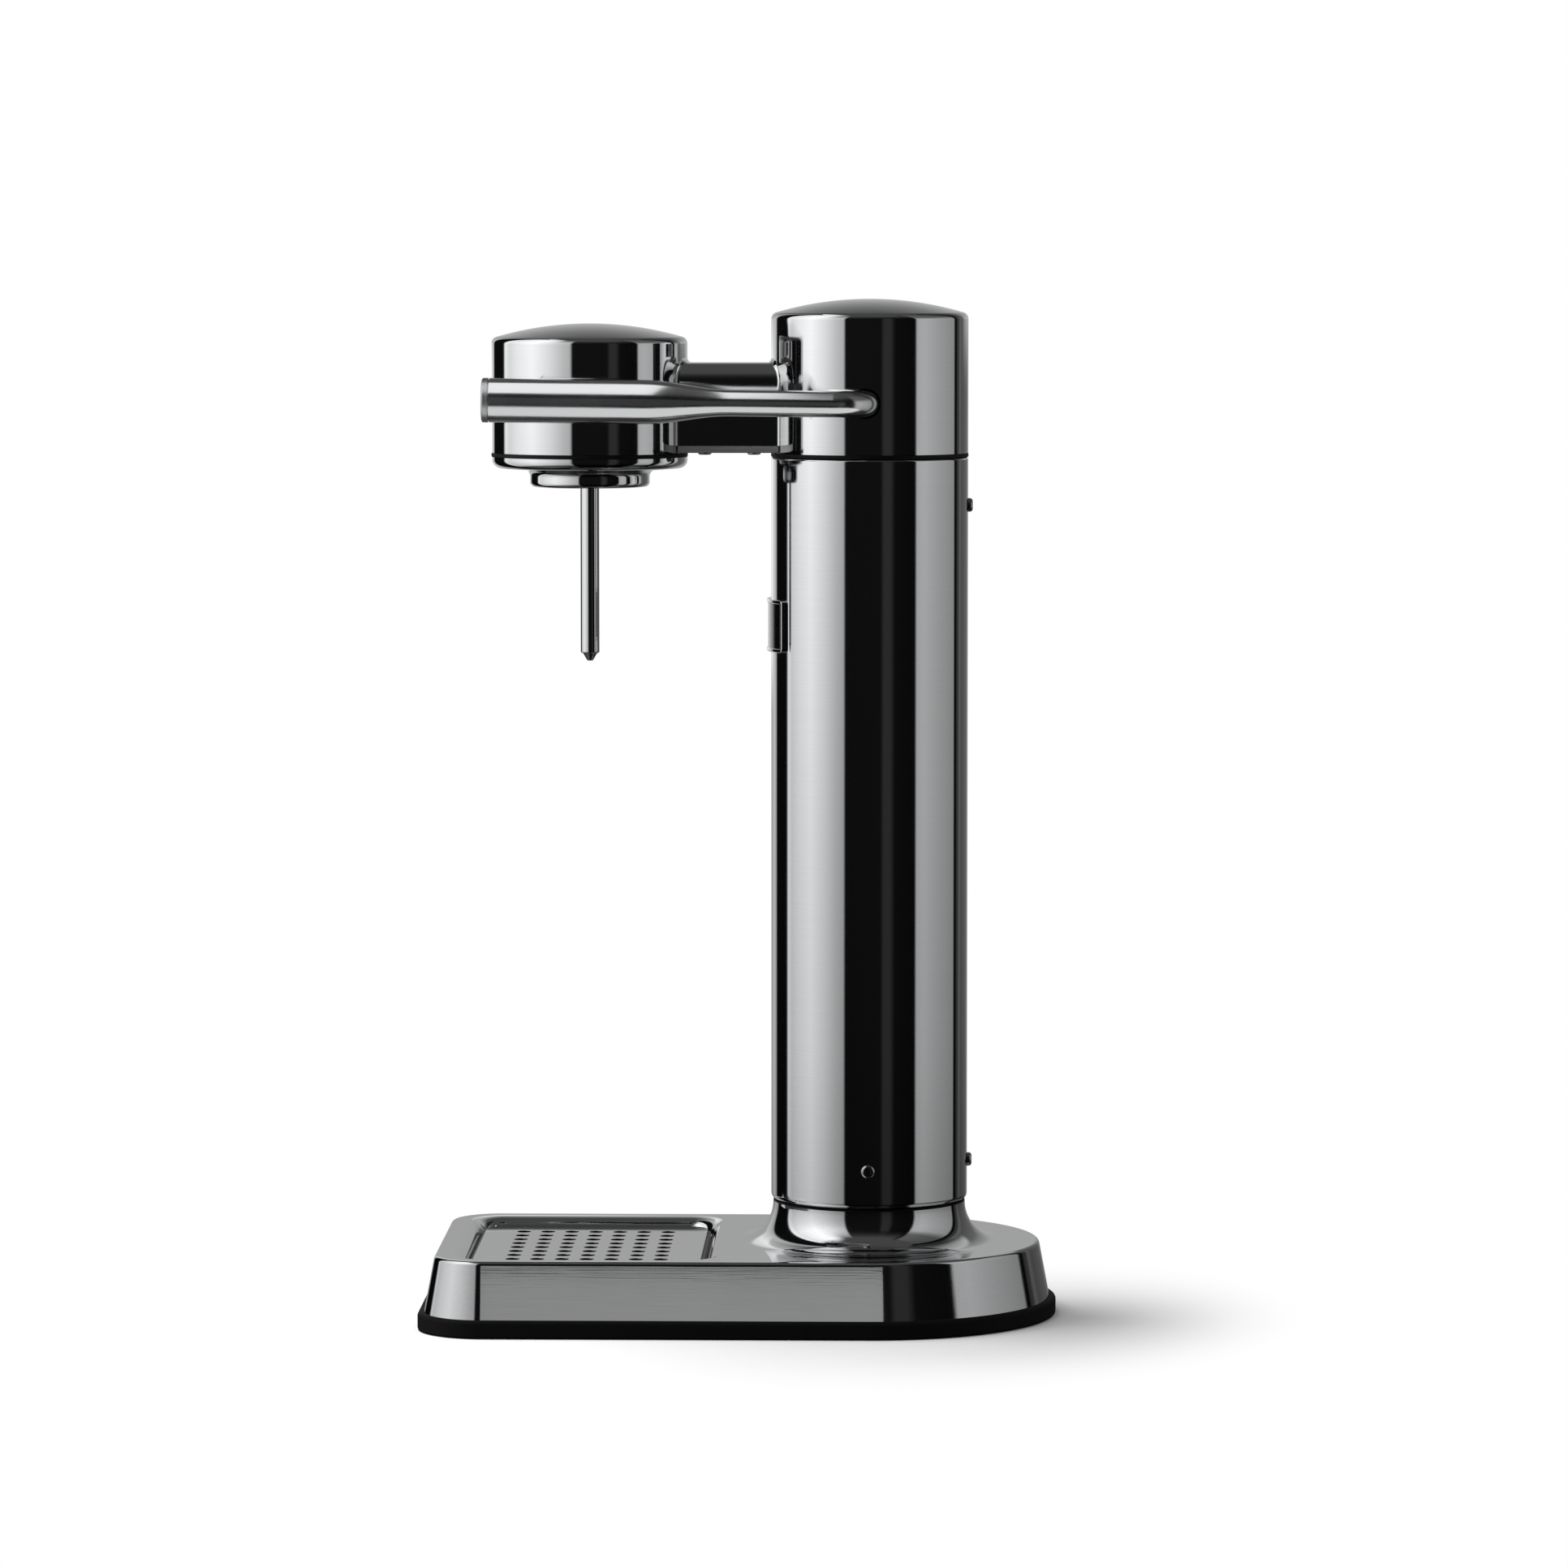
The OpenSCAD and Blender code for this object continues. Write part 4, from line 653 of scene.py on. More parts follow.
def buildBadge():
    # worked out flat, then bent round the column
    s = badgeShape
    halfH = s["height"] / 2
    out, thick, edge = s["corner"], s["thick"], s["edge"]
    reachX, reachY = math.radians(s["angle"]) * axes["columnR"] / 2 - out, halfH - out
    along, up = evenSteps(-reachX, reachX, 48)[1:-1], evenSteps(-reachY, reachY, 8)[1:-1]
    sides = [[(u, reachY, 0, 1) for u in reversed(along)], [(-reachX, v, -1, 0) for v in reversed(up)],
             [(u, -reachY, 0, -1) for u in along], [(reachX, v, 1, 0) for v in up]]
    stations = []
    for corner, side in zip(cornerStations(0.0, reachX, reachY, 8), sides):
        stations += corner + side
    top, inner = thick + s["rimHeight"], out - s["rim"]
    rim = profile(
        (out, 0.0), arc((out - edge, top - edge), edge, 0, 90, 4),
        arc((inner + edge, top - edge), edge, 90, 180, 4), (inner, thick))
    flat = sweep(rim, stations) + acrossRing(ring(inner, stations), thick, 1)
    flat += acrossRing(ring(out, stations), 0.0, -1)
    bent = [[bentRound(corner, s["low"] + halfH) for corner in face] for face in flat]
    piece = makePiece("badge_plate_blank", bent, columnSteel, ["badge_plate"])
    # the field between the rims is etched dull
    piece.data.materials.append(etchedSteel)
    fieldTop = axes["columnR"] + thick + s["fieldOver"]
    for polygon in piece.data.polygons:
        corners = [piece.data.vertices[i].co / millimetre for i in polygon.vertices]
        reach = [math.hypot(c.x - axes["columnX"], c.y) for c in corners]
        if max(reach) < fieldTop and min(reach) > fieldTop - s["fieldDepth"]:
            polygon.material_index = 1


# gaskets, black seams between the round forms: axis, outer and inner radius, low and high
gaskets = {
    "neck_gasket": (axes["columnX"], 39.0, 37.45, 46.4, 47.0),
    "column_gasket": (axes["columnX"], 40.1, 38.45, 350.0, 351.7),
    "head_gasket": (axes["headX"], 39.9, 37.6, 350.0, 351.7),
}
gasketRound = 0.25  # of its height


def buildGaskets():
    for name, (x, outer, inner, low, high) in gaskets.items():
        edge = (high - low) * gasketRound
        section = profile(
            arc((outer - edge, low + edge), edge, -90, 0, 3),
            arc((outer - edge, high - edge), edge, 0, 90, 3), (inner, high), (inner, low))
        makeRound(name + "_moulded", x, section, sealRubber, [name], slot="seal_rubber")


buildColumn()
buildBadge()
buildGaskets()
print("column and gaskets built")

# upper housing

housingShape = {
    "capTop": 414.0, "headTop": 404.0, "dome": 135.0, "shoulder": 2.8, "inShoulder": 1.0, "wall": 2.2,
    "bridgeW": 34.0, "bridgeZ": 354.9, "bridgeTop": 388.2, "bridgeEdge": 7.5, "fillet": 2.0, "endReach": 37.0,
    "endZ": 370.0, "bore": 6.1, "boreX": 51.2, "boreZ": 372.4, "patch": 9.0,
}


def domeArcs(radius, top, dome, shoulder):
    # the shoulder's centre, the angle at which it meets the dome, and the dome's centre
    domeZ = top - dome
    shoulderZ = domeZ + math.sqrt((dome - shoulder) ** 2 - (radius - shoulder) ** 2)
    meet = math.degrees(math.atan2(shoulderZ - domeZ, radius - shoulder))
    return (radius - shoulder, shoulderZ), meet, (0.0, domeZ)


def domedShell(radius, top, wallRows=()):
    s = housingShape
    low, wall, dome = axes["housingZ"], s["wall"], s["dome"]
    shoulder, inShoulder = s["shoulder"], s["inShoulder"]
    shoulderAt, meet, domeAt = domeArcs(radius, top, dome, shoulder)
    inner = radius - wall
    inShoulderAt, inMeet, inDomeAt = domeArcs(inner, top - wall, dome - wall, inShoulder)
    return closed(profile(
        (radius, low), *[(radius, z) for z in wallRows],
        arc(shoulderAt, shoulder, 0, meet, 12), arc(domeAt, dome, meet, 90, 40),
        arc(inDomeAt, dome - wall, 90, inMeet, 24), arc(inShoulderAt, inShoulder, inMeet, 0, 6),
        *[(inner, z) for z in reversed(wallRows)], (inner, low)))


def bridgeSection():
    # points (y, z) with outward normals, up one side, over the top and down the other
    s = housingShape
    half, edge = s["bridgeW"] / 2, s["bridgeEdge"]
    low, top, flat = s["bridgeZ"], s["bridgeTop"], half - edge
    points = [(half, z, 1.0, 0.0) for z in evenSteps(low, top - edge, 8)[:-1]]
    points += arc((flat, top - edge), edge, 0, 90, 14)
    points += [(y, top, 0.0, 1.0) for y in evenSteps(flat, -flat, 8)[1:-1]]
    points += arc((-flat, top - edge), edge, 90, 180, 14)
    points += [(-half, z, -1.0, 0.0) for z in evenSteps(top - edge, low, 8)[1:]]
    return points


def bridgeRow(point, axisX, radius, way):
    # one row of the fillet: from the bridge's side to the round wall, rolled by a ball
    ball = housingShape["fillet"]
    y, z, ny, nz = point
    cy, cz = y + ball * ny, z + ball * nz
    reach = radius + ball
    cx = axisX + way * math.sqrt(reach * reach - cy * cy)
    toBridge = Vector((0, -ny, -nz))
    toWall = Vector(((axisX - cx) / reach, -cy / reach, 0))
    angle = math.acos(max(-1, min(1, toBridge.dot(toWall))))
    row = []
    for t in evenSteps(0, 1, 10):
        a, b = math.sin((1 - t) * angle) / math.sin(angle), math.sin(t * angle) / math.sin(angle)
        d = toBridge * a + toWall * b
        row.append(((cx + ball * d.x, cy + ball * d.y, cz + ball * d.z), (-d.x, -d.y, -d.z)))
    return row


def boredCap():
    # the column cap: lathe faces, with a patch round the lever's bore left open and filled by rings of quads
    s, columnX, columnR = housingShape, axes["columnX"], axes["columnR"]
    bore, boreX, boreZ, half = s["bore"], s["boreX"], s["boreZ"], s["patch"]
    radii = {columnR: 1, columnR - s["wall"]: -1}
    stations, wallRows = roundStations(columnX, steps=224), evenSteps(boreZ - half, boreZ + half, 12)
    spans = [i for i, (x, y, c, d) in enumerate(stations) if d < 0 and abs(x + columnR * c - boreX) < half]
    first, last = min(spans), max(spans)
    border = [(i, wallRows[0]) for i in range(first, last + 1)] + [(last, z) for z in wallRows[1:]]
    border += [(i, wallRows[-1]) for i in range(last - 1, first - 1, -1)]
    border += [(first, z) for z in wallRows[-2:0:-1]]
    faces, rims = [], []
    for radius, inward in radii.items():
        rings = []
        for t in evenSteps(0, 1, 5):
            loop = []
            for i, z in border:
                x = columnX + radius * stations[i][2]
                size = math.hypot(x - boreX, z - boreZ)
                px = x + (boreX + bore * (x - boreX) / size - x) * t
                pz = z + (boreZ + bore * (z - boreZ) / size - z) * t
                c = (px - columnX) / radius
                d = -math.sqrt(1 - c * c)
                loop.append(((columnX + radius * c, radius * d, pz), (inward * c, inward * d, 0)))
            rings.append(loop)
        for near, far in zip(rings, rings[1:]):
            faces += quads(near, far)
        rims.append(rings[-1])
    # the bore's own wall, from rim to rim
    for quad in quads(*rims):
        faces.append([(p, ((boreX - p[0]) / bore, 0, (boreZ - p[2]) / bore)) for p, n in quad])

    def inPatch(face, onWall=0.3):
        # onWall: how far a face's middle may lie from the round wall, in millimetres
        x, y, z = (sum(p[axis] for p, n in face) / len(face) for axis in range(3))
        for radius in radii:
            low, high = (columnX + radius * stations[i][2] for i in (first, last))
            if abs(math.hypot(x - columnX, y) - radius) < onWall and y < 0 and low < x < high:
                return wallRows[0] < z < wallRows[-1]
        return False

    lathe = sweep(domedShell(columnR, s["capTop"], wallRows), stations)
    return [face for face in lathe if not inPatch(face)] + faces


def buildHousing():
    s, headX, columnX = housingShape, axes["headX"], axes["columnX"]
    faces = boredCap() + sweep(domedShell(axes["headR"], s["headTop"]), roundStations(headX, steps=224))
    rows = []
    for point in bridgeSection():
        head = bridgeRow(point, headX, axes["headR"], 1)
        rows.append(head[::-1] + bridgeRow(point, columnX, axes["columnR"], -1))
    for near, far in zip(rows, rows[1:]):
        faces += quads(near, far)[:-1]
    # close the bridge's ends inside the walls and its underside
    for end, x, way in ((0, headX + s["endReach"], -1), (-1, columnX - s["endReach"], 1)):
        for near, far in zip(rows, rows[1:] + rows[:1]):
            faces.append([(place, (way, 0, 0)) for place in (near[end][0], far[end][0], (x, 0.0, s["endZ"]))])
    for quad in quads(rows[0], rows[-1])[:-1]:
        faces.append([(place, (0, 0, -1)) for place, normal in quad])
    makePiece("upper_housing_shell", faces, columnSteel, ["upper_housing"])


coverStrip = {"low": 352.0, "high": 354.9, "half": 17.0, "gap": 0.3, "edge": 0.35, "sharpDegrees": 35}


def buildBridgeCover():
    # a strip between the round walls, its ends cut to their curve
    s = coverStrip
    columnR, headR = axes["columnR"] + s["gap"], axes["headR"] + s["gap"]
    ys = evenSteps(-s["half"], s["half"], 32)
    outline = [(axes["columnX"] - math.sqrt(columnR ** 2 - y * y), y) for y in ys]
    outline += [(axes["headX"] + math.sqrt(headR ** 2 - y * y), y) for y in reversed(ys)]
    count = len(outline)
    places = [[c * millimetre for c in (x, y, z)] for z in (s["low"], s["high"]) for x, y in outline]
    polygons = [tuple(range(count))[::-1], tuple(range(count, 2 * count))]
    polygons += [(i, (i + 1) % count, count + (i + 1) % count, count + i) for i in range(count)]
    mesh = bpy.data.meshes.new("bridge_cover_strip")
    mesh.from_pydata(places, [], polygons)
    mesh.materials.append(stripSteel)
    mesh.shade_smooth()
    mesh.set_sharp_from_angle(angle=math.radians(s["sharpDegrees"]))
    piece = addObject("bridge_cover_strip", mesh)
    breakEdges(piece, s["edge"], segments=3, sharpDegrees=40, keepSharp=False)
    bakePiece(piece, "root", ["bridge_cover"])


buildHousing()
buildBridgeCover()
print("upper housing built")

# screws: where each head sits, the way that it points, and the sizes that differ
backX, sideY = axes["columnX"] + axes["columnR"], axes["columnR"]
lowHead = {"Head Height": 1.2, "Edge Round": 0.78, "Socket Floor": 0.42, "Thread Length": 7.5}
basePlaces = ((-94.8, 65), (-94.8, -65), (39, 65), (39, -65), (117.5, 0))
screwSets = {
    "rear_screws": ([(backX, 0, 63.0), (backX, 0, 330.5)], [(1, 0, 0)] * 2, {}),
    "side_screws": ([(axes["columnX"], y, 63.0) for y in (sideY, -sideY)], [(0, 1, 0), (0, -1, 0)], {}),
    "bridge_screws": ([(-14.5, 0, 352.0), (5.5, 0, 352.0)], [(0, 0, -1)] * 2, lowHead),
    "base_screws": ([(x, y, 2.8) for x, y in basePlaces], [(0, 0, -1)] * 5, {}),
}


def buildScrews():
    tree = screwTree()
    for name, (places, ways, changes) in screwSets.items():
        piece = runTree(tree, name + "_turned", places, ways, {**screwSize, **changes}, fastenerSteel)
        breakEdges(piece)
        bakePiece(piece, "root", [name])


buildScrews()
print("screws set")

# bottle head

coverShape = {"collarR": 24.4, "inner": 22.22, "low": 337.8, "round": 2.0, "fillet": 2.6, "flangeLow": 344.6,
              "flangeLift": 0.8, "flangeRound": 3.4, "wall": 2.0, "wallLow": 2.6, "floor": 347.0}


def buildNozzleCover():
    s, headR, top = coverShape, axes["headR"], axes["tubeTop"]
    edge, fillet, flange = s["round"], s["fillet"], s["flangeRound"]
    section = profile(
        (s["inner"], s["low"]), arc((s["collarR"] - edge, s["low"] + edge), edge, -90, 0, 10),
        arc((s["collarR"] + fillet, s["flangeLow"] - fillet), fillet, 180, 95, 10),
        arc((headR - flange, s["flangeLow"] + s["flangeLift"] + flange), flange, -80, 0, 12),
        (headR, top), (headR - s["wall"], top), (headR - s["wallLow"], s["floor"]), (s["inner"], s["floor"]))
    makeRound("nozzle_cover_spun", axes["headX"], section, columnSteel, ["nozzle_cover"])


tubeShape = {"radius": 3.85, "bore": 2.65, "low": 270.0, "high": 362.0, "edge": 0.8}
tipShape = {"low": 267.0, "bore": 0.6, "pointR": 1.0, "round": 0.3, "shoulder": 0.3, "shoulderDrop": 0.01,
            "fit": 0.02, "shank": 7}


def buildTube():
    s, tip = tubeShape, tipShape
    low, edge, x = s["low"], s["edge"], axes["headX"]
    section = profile(
        (s["bore"], low), arc((s["radius"] - edge, low + edge), edge, -90, 0, 6),
        (s["radius"], s["high"]), (s["bore"], s["high"]))
    satin = {"slot": "satin_steel", "steps": 72}
    makeRound("carbonation_tube_drawn", x, section, columnSteel, ["carbonation_tube"], **satin)
    shankR, shankTop, edge = s["bore"] - tip["fit"], low + tip["shank"], tip["round"]
    point = profile(
        (tip["bore"], tip["low"]), arc((tip["pointR"], tip["low"] + edge), edge, -90, -20, 3),
        (shankR + tip["shoulder"], low - tip["shoulderDrop"]), (shankR, low), (shankR, shankTop),
        (tip["bore"], shankTop))
    makeRound("tube_nozzle_turned", x, point, columnSteel, ["tube_nozzle"], **satin)


buildNozzleCover()
buildTube()
print("bottle head built")

# lever

def tubeAlong(path, radius, around, closeStart=True):
    # path: (place, side, up) with unit vectors across the tube; around: stations on a circle
    rows = []
    for centre, side, up in path:
        normals = [side * c + up * t for x, y, c, t in around]
        rows.append([(tuple(centre + normal * radius), tuple(normal)) for normal in normals])
    faces = []
    for near, far in zip(rows, rows[1:]):
        faces += quads(near, far)
    ends = [(rows[-1], path[-2][0] - path[-1][0])]
    if closeStart:
        ends.append((rows[0], path[1][0] - path[0][0]))
    for row, inward in ends:
        out = tuple(-inward.normalized())
        faces.append([(place, out) for place, normal in row])
    return faces


leverShape = {"pivot": (51.2, 0.0, 372.4), "tilt": 0.64, "length": 152.7, "offset": 53.5, "bend": 13.0,
              "shaft": 5.3, "grip": 8.9, "swageStart": 53.6, "swageLength": 35.6, "cap": 3.0,
              "shaftEnd": 34.0}


def leverFrame():
    s = leverShape
    return Matrix.Translation(s["pivot"]) @ Matrix.Rotation(math.radians(s["tilt"]), 4, "Y")


def gripStroke(fromX, toX, steps):
    # radius along the straight arm: shaft, swage, grip
    s = leverShape
    shaft, more, length = s["shaft"], s["grip"] - s["shaft"], s["swageLength"]
    points = []
    for x in evenSteps(fromX, toX, steps):
        t = max(0.0, min(1.0, (x - s["swageStart"]) / length))
        r = shaft + more * (1 - math.cos(math.pi * t)) / 2
        slope = more * math.pi * math.sin(math.pi * t) / 2 / length
        size = math.hypot(1, slope)
        points.append((r, x, 1 / size, -slope / size))
    return points


def alongArm(faces):
    # a lathe form about Z, laid along -X at the arm's offset
    aside = Matrix.Translation((0, -leverShape["offset"], 0))
    return turned(faces, leverFrame() @ aside @ Matrix.Rotation(math.radians(-90), 4, "Y"))


def buildLever():
    s = leverShape
    around = roundStations(0.0, steps=96)
    swage, endX = s["swageStart"], s["length"] - s["cap"]
    swageEnd = swage + s["swageLength"]
    strokes = [gripStroke(s["bend"], swage, 4), gripStroke(swage, swageEnd, 40)]
    strokes += [gripStroke(swageEnd, endX, 4), line((s["grip"], endX), (0.0, endX))]
    # the bend, then the shaft into the housing
    path = []
    up = Vector((0, 0, 1))
    for a in evenSteps(math.radians(-90), 0, 32):
        side = Vector((math.cos(a), math.sin(a), 0))
        path.append((Vector((-s["bend"], s["bend"] - s["offset"], 0)) + side * s["bend"], side, up))
    path.append((Vector((0, s["shaftEnd"], 0)), Vector((1, 0, 0)), up))
    bent = tubeAlong(path, s["shaft"], around, closeStart=False)  # it carries on from the straight arm
    faces = alongArm(sweep(strokes, around)) + turned(bent, leverFrame())
    makePiece("lever_arm_bar", faces, leverSteel, ["lever_arm"], body="lever")


capShape = {"radius": 8.9, "length": 3.0, "grooveDepth": 0.7, "groove": 0.5, "edge": 0.7}


def buildEndCap():
    s = capShape
    start, end = leverShape["length"] - s["length"], leverShape["length"]
    r, neckR, neckEnd, edge = s["radius"], s["radius"] - s["grooveDepth"], start + s["groove"], s["edge"]
    strokes = profile(
        (0.0, start), (neckR, start), (neckR, neckEnd), (r, neckEnd),
        arc((r - edge, end - edge), edge, 0, 90, 6), (0.0, end))
    faces = alongArm(sweep(strokes, roundStations(0.0, steps=96)))
    makePiece("lever_end_cap_turned", faces, capSteel, ["lever_end_cap"], body="lever")


buildLever()
buildEndCap()
print("lever built")

# springs, drawn up between a fixed end and the part that presses them
springs = {
    "plunger_spring": {"x": 52.5, "y": 0.0, "radius": 4.7, "wire": 1.2, "low": 354.28, "high": 363.65,
                       "turns": 4, "joint": "valve_press", "travel": 3.2, "fixed": "low"},
    "relief_spring": {"x": -67.3, "y": 9.5, "radius": 2.9, "wire": 0.8, "low": 371.61, "high": 381.69,
                      "turns": 5, "joint": "relief_lift", "travel": 1.5, "fixed": "high"},
}


def buildSprings():
    for name, s in springs.items():
        path = []
        half, height = s["wire"] / 2, s["high"] - s["low"]
        for t in evenSteps(0, 1, s["turns"] * 32):
            a = 2 * math.pi * s["turns"] * t
            side = Vector((math.cos(a), math.sin(a), 0))
            z = s["low"] + half + (height - s["wire"]) * t
            path.append((Vector((s["x"], s["y"], z)) + side * s["radius"], side, Vector((0, 0, 1))))
        faces = tubeAlong(path, half, roundStations(0.0, steps=14))
        piece = makePiece(name + "_wound", faces, springSteel, [name])
        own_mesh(piece)


buildSprings()
print("springs built")


# studio: floor, world, lamps, camera

# steel: how much of a panel's light the steel gives back; the greys are what it shows of 255
studio = {"floorSize": 6.0, "floorColour": "#f4f4f4", "floorDrop": 0.0001, "fadeStart": 0.135,
          "fadeEnd": 0.235, "ambient": 0.36, "steel": 0.62, "glow": 3.0, "overhead": 66, "leaning": 248,
          "below": 18,
          "tentRadius": 0.62, "tentLow": -0.9, "tentHigh": 1.5, "tentSides": 128}
white = (1, 1, 1, 1)


def addStage(name, places, polygons, material):
    mesh = bpy.data.meshes.new(name)
    mesh.from_pydata(places, [], polygons)
    mesh.materials.append(material)
    thing = addObject(name, mesh)
    return thing


def emptyMaterial(name):
    material = bpy.data.materials.new(name)
    material.use_nodes = True
    material.node_tree.nodes.clear()
    return material, material.node_tree


def buildFloor():
    size = studio["floorSize"]
    material, tree = emptyMaterial("matt_white_sweep")
    paper = addNode(tree, "ShaderNodeBsdfDiffuse", {"Color": hexColour(studio["floorColour"])})
    glow = addNode(tree, "ShaderNodeEmission", {"Color": white, "Strength": 1.0})
    ray = addNode(tree, "ShaderNodeLightPath").outputs
    # away from the machine the paper turns to the plain white of the background
    place = addNode(tree, "ShaderNodeTexCoord").outputs["Object"]
    distance = addNode(tree, "ShaderNodeVectorMath", {"operation": "LENGTH"}, in0=place).outputs["Value"]
    fade = {**easeIn, "From Min": studio["fadeStart"], "From Max": studio["fadeEnd"]}
    far = addNode(tree, rangeNode, fade, Value=distance)
    seen = addNode(tree, mathNode, times, in0=far, in1=ray["Is Camera Ray"])
    sheet = addNode(tree, "ShaderNodeMixShader", Fac=seen, in1=paper, in2=glow)
    # the steel looks through the paper into the dark room below the table
    clear = addNode(tree, "ShaderNodeBsdfTransparent")
    mixed = addNode(tree, "ShaderNodeMixShader", Fac=ray["Is Glossy Ray"], in1=sheet, in2=clear)
    addNode(tree, "ShaderNodeOutputMaterial", Surface=mixed)
    corners = [(-size, -size, 0), (size, -size, 0), (size, size, 0), (-size, size, 0)]
    floor = addStage("studio_floor", corners, [(0, 1, 2, 3)], material)
    floor.location.z = -studio["floorDrop"]


def evenGrey(level):
    return level, level, level, 1


def greyLight(grey):
    # the light that the steel shows as this display grey, divided by the panels' glow to fit the ramp
    return hexColour("#%02x%02x%02x" % (grey, grey, grey))[0] / studio["steel"] / studio["glow"]


def rampOver(tree, source, stops, toLevel):
    # levels in straight lines from stop to stop; toLevel turns a stop's value into what the ramp keeps
    low, high = stops[0][0], stops[-1][0]
    share = addNode(tree, rangeNode, {"From Min": low, "From Max": high}, Value=source)
    ramp = addNode(tree, "ShaderNodeValToRGB", Fac=share)
    elements = ramp.color_ramp.elements
    elements.remove(elements[-1])
    for index, (place, value) in enumerate(stops):
        position = (place - low) / (high - low)
        element = elements.new(position) if index else elements[0]
        element.position = position
        element.color = evenGrey(toLevel(value))
    return ramp


# panels round the machine: degrees from the camera side, right positive, and the grey seen in the steel
panels = [
    # back sheet, left half
    (-180, 165), (-157, 200), (-138, 145),
    # tall black flag
    (-135.5, 8), (-110, 8),
    # big window on the left, brightest in its middle
    (-107, 205), (-100, 187), (-89, 202), (-70, 216), (-52, 192), (-37, 162), (-29, 150),
    # black cloth round the camera, with one thin gap
    (-27, 12), (13.5, 14), (16.5, 40), (24, 40), (29, 12), (54, 8),
    # window on the right
    (55.8, 156), (66, 160), (84, 146), (114, 126),
    # narrow flags and the right half of the back sheet
    (115.5, 5), (120.5, 5), (121.5, 55), (124.5, 42), (128.5, 88), (134, 70), (154, 88), (180, 165)]
# how the panels brighten with height in metres, left and right of the machine, between 0 and 2
leftGain = [(-0.9, 0.1), (-0.15, 0.12), (-0.04, 0.7), (0.04, 0.88), (0.16, 1.0), (0.31, 1.19), (0.36, 1.3),
            (0.5, 1.5), (1.2, 1.5), (1.5, 0.6)]
rightGain = [(-0.9, 0.1), (-0.15, 0.12), (-0.04, 0.7), (0.04, 0.89), (0.16, 1.0), (0.36, 1.09), (0.52, 1.05),
             (0.66, 0.5), (0.75, 0.3), (1.5, 0.25)]
# the sheet behind the machine, as greys over the height
backWall = [(-0.9, 60), (-0.1, 90), (0.02, 140), (0.1, 142), (0.43, 163), (0.5, 150), (0.58, 138),
            (0.69, 112), (0.83, 78), (1.5, 60)]
# soft turns from panel to panel: what they go by, where each begins and where it is full
panelTurns = {
    "right": ("degrees", -28, 20), "beside": ("aside", 40, 60), "ceiling": ("height", 0.5, 1.4),
    "behind": ("aside", 165, 172), "behindHigh": ("height", 0.36, 0.42), "behindWide": ("aside", 132, 150),
    "deckLeft": ("degrees", -146, -154), "deckLow": ("height", 0.24, 0.2)}
# the same for the world, by the direction's parts
worldTurns = {"left": ("x", -0.25, -0.45), "high": ("z", 0.3, 0.5), "horizon": ("z", -0.2, 0.0)}


def buildTent():
    # a ring of card and cloth panels close to the machine, which only mirrors see
    r, sides = studio["tentRadius"], studio["tentSides"]
    material, tree = emptyMaterial("studio_panels")
    material.cycles.emission_sampling = "NONE"
    place = addNode(tree, "ShaderNodeTexCoord").outputs["Object"]
    x, y, z = addNode(tree, "ShaderNodeSeparateXYZ", Vector=place).outputs
    toFront = addNode(tree, mathNode, times, in0=y, in1=-1.0)
    radians = addNode(tree, mathNode, {"operation": "ARCTAN2"}, in0=x, in1=toFront)
    degrees = addNode(tree, mathNode, {"operation": "DEGREES"}, in0=radians)
    aside = addNode(tree, mathNode, {"operation": "ABSOLUTE"}, in0=degrees)
    sources, share = {"degrees": degrees, "aside": aside, "height": z}, {}
    for name, (source, start, end) in panelTurns.items():
        turn = {**easeIn, "From Min": start, "From Max": end}
        share[name] = addNode(tree, rangeNode, turn, Value=sources[source])
    gains = []
    for stops in (leftGain, rightGain):
        # the ramp keeps half of a gain
        half = rampOver(tree, z, stops, lambda gain: gain / 2)
        gains.append(addNode(tree, mathNode, times, in0=half, in1=2.0))
    gain = addNode(tree, mixNode, {"data_type": "FLOAT"}, in0=share["right"], in2=gains[0], in3=gains[1])
    level = rampOver(tree, degrees, panels, greyLight)
    lit = addNode(tree, "ShaderNodeVectorMath", {"operation": "SCALE"}, in0=level, Scale=gain)
    # above the front panel the ceiling begins
    inFront = addNode(tree, mathNode, minus, in0=1.0, in1=share["beside"])
    overFront = addNode(tree, mathNode, times, in0=inFront, in1=share["ceiling"])
    ceiling = {"data_type": "RGBA", 7: evenGrey(greyLight(studio["overhead"]))}
    lit = addNode(tree, mixNode, ceiling, in0=overFront, in6=lit).outputs[2]
    # the back wall: right behind, wider up high, and low on the left behind the deck
    highBack = addNode(tree, mathNode, times, in0=share["behindHigh"], in1=share["behindWide"])
    behind = addNode(tree, mathNode, {"operation": "MAXIMUM"}, in0=share["behind"], in1=highBack)
    nearDeck = addNode(tree, mathNode, times, in0=share["deckLeft"], in1=share["deckLow"])
    behind = addNode(tree, mathNode, {"operation": "MAXIMUM"}, in0=behind, in1=nearDeck)
    wall = rampOver(tree, z, backWall, greyLight)
    lit = addNode(tree, mixNode, {"data_type": "RGBA"}, in0=behind, in6=lit, in7=wall).outputs[2]
    glow = addNode(tree, "ShaderNodeEmission", {"Strength": studio["glow"]}, Color=lit)
    addNode(tree, "ShaderNodeOutputMaterial", Surface=glow)
    places, polygons = [], []
    for i in range(sides):
        a, j = 2 * math.pi * i / sides, (i + 1) % sides
        places += [(r * math.cos(a), r * math.sin(a), studio[end]) for end in ("tentLow", "tentHigh")]
        polygons.append((2 * i, 2 * i + 1, 2 * j + 1, 2 * j))
    tent = addStage("studio_tent", places, polygons, material)
    tent.location.x = axes["columnX"] / 1000
    for flag in ("camera", "diffuse", "transmission", "volume_scatter", "shadow"):
        setattr(tent, "visible_" + flag, False)


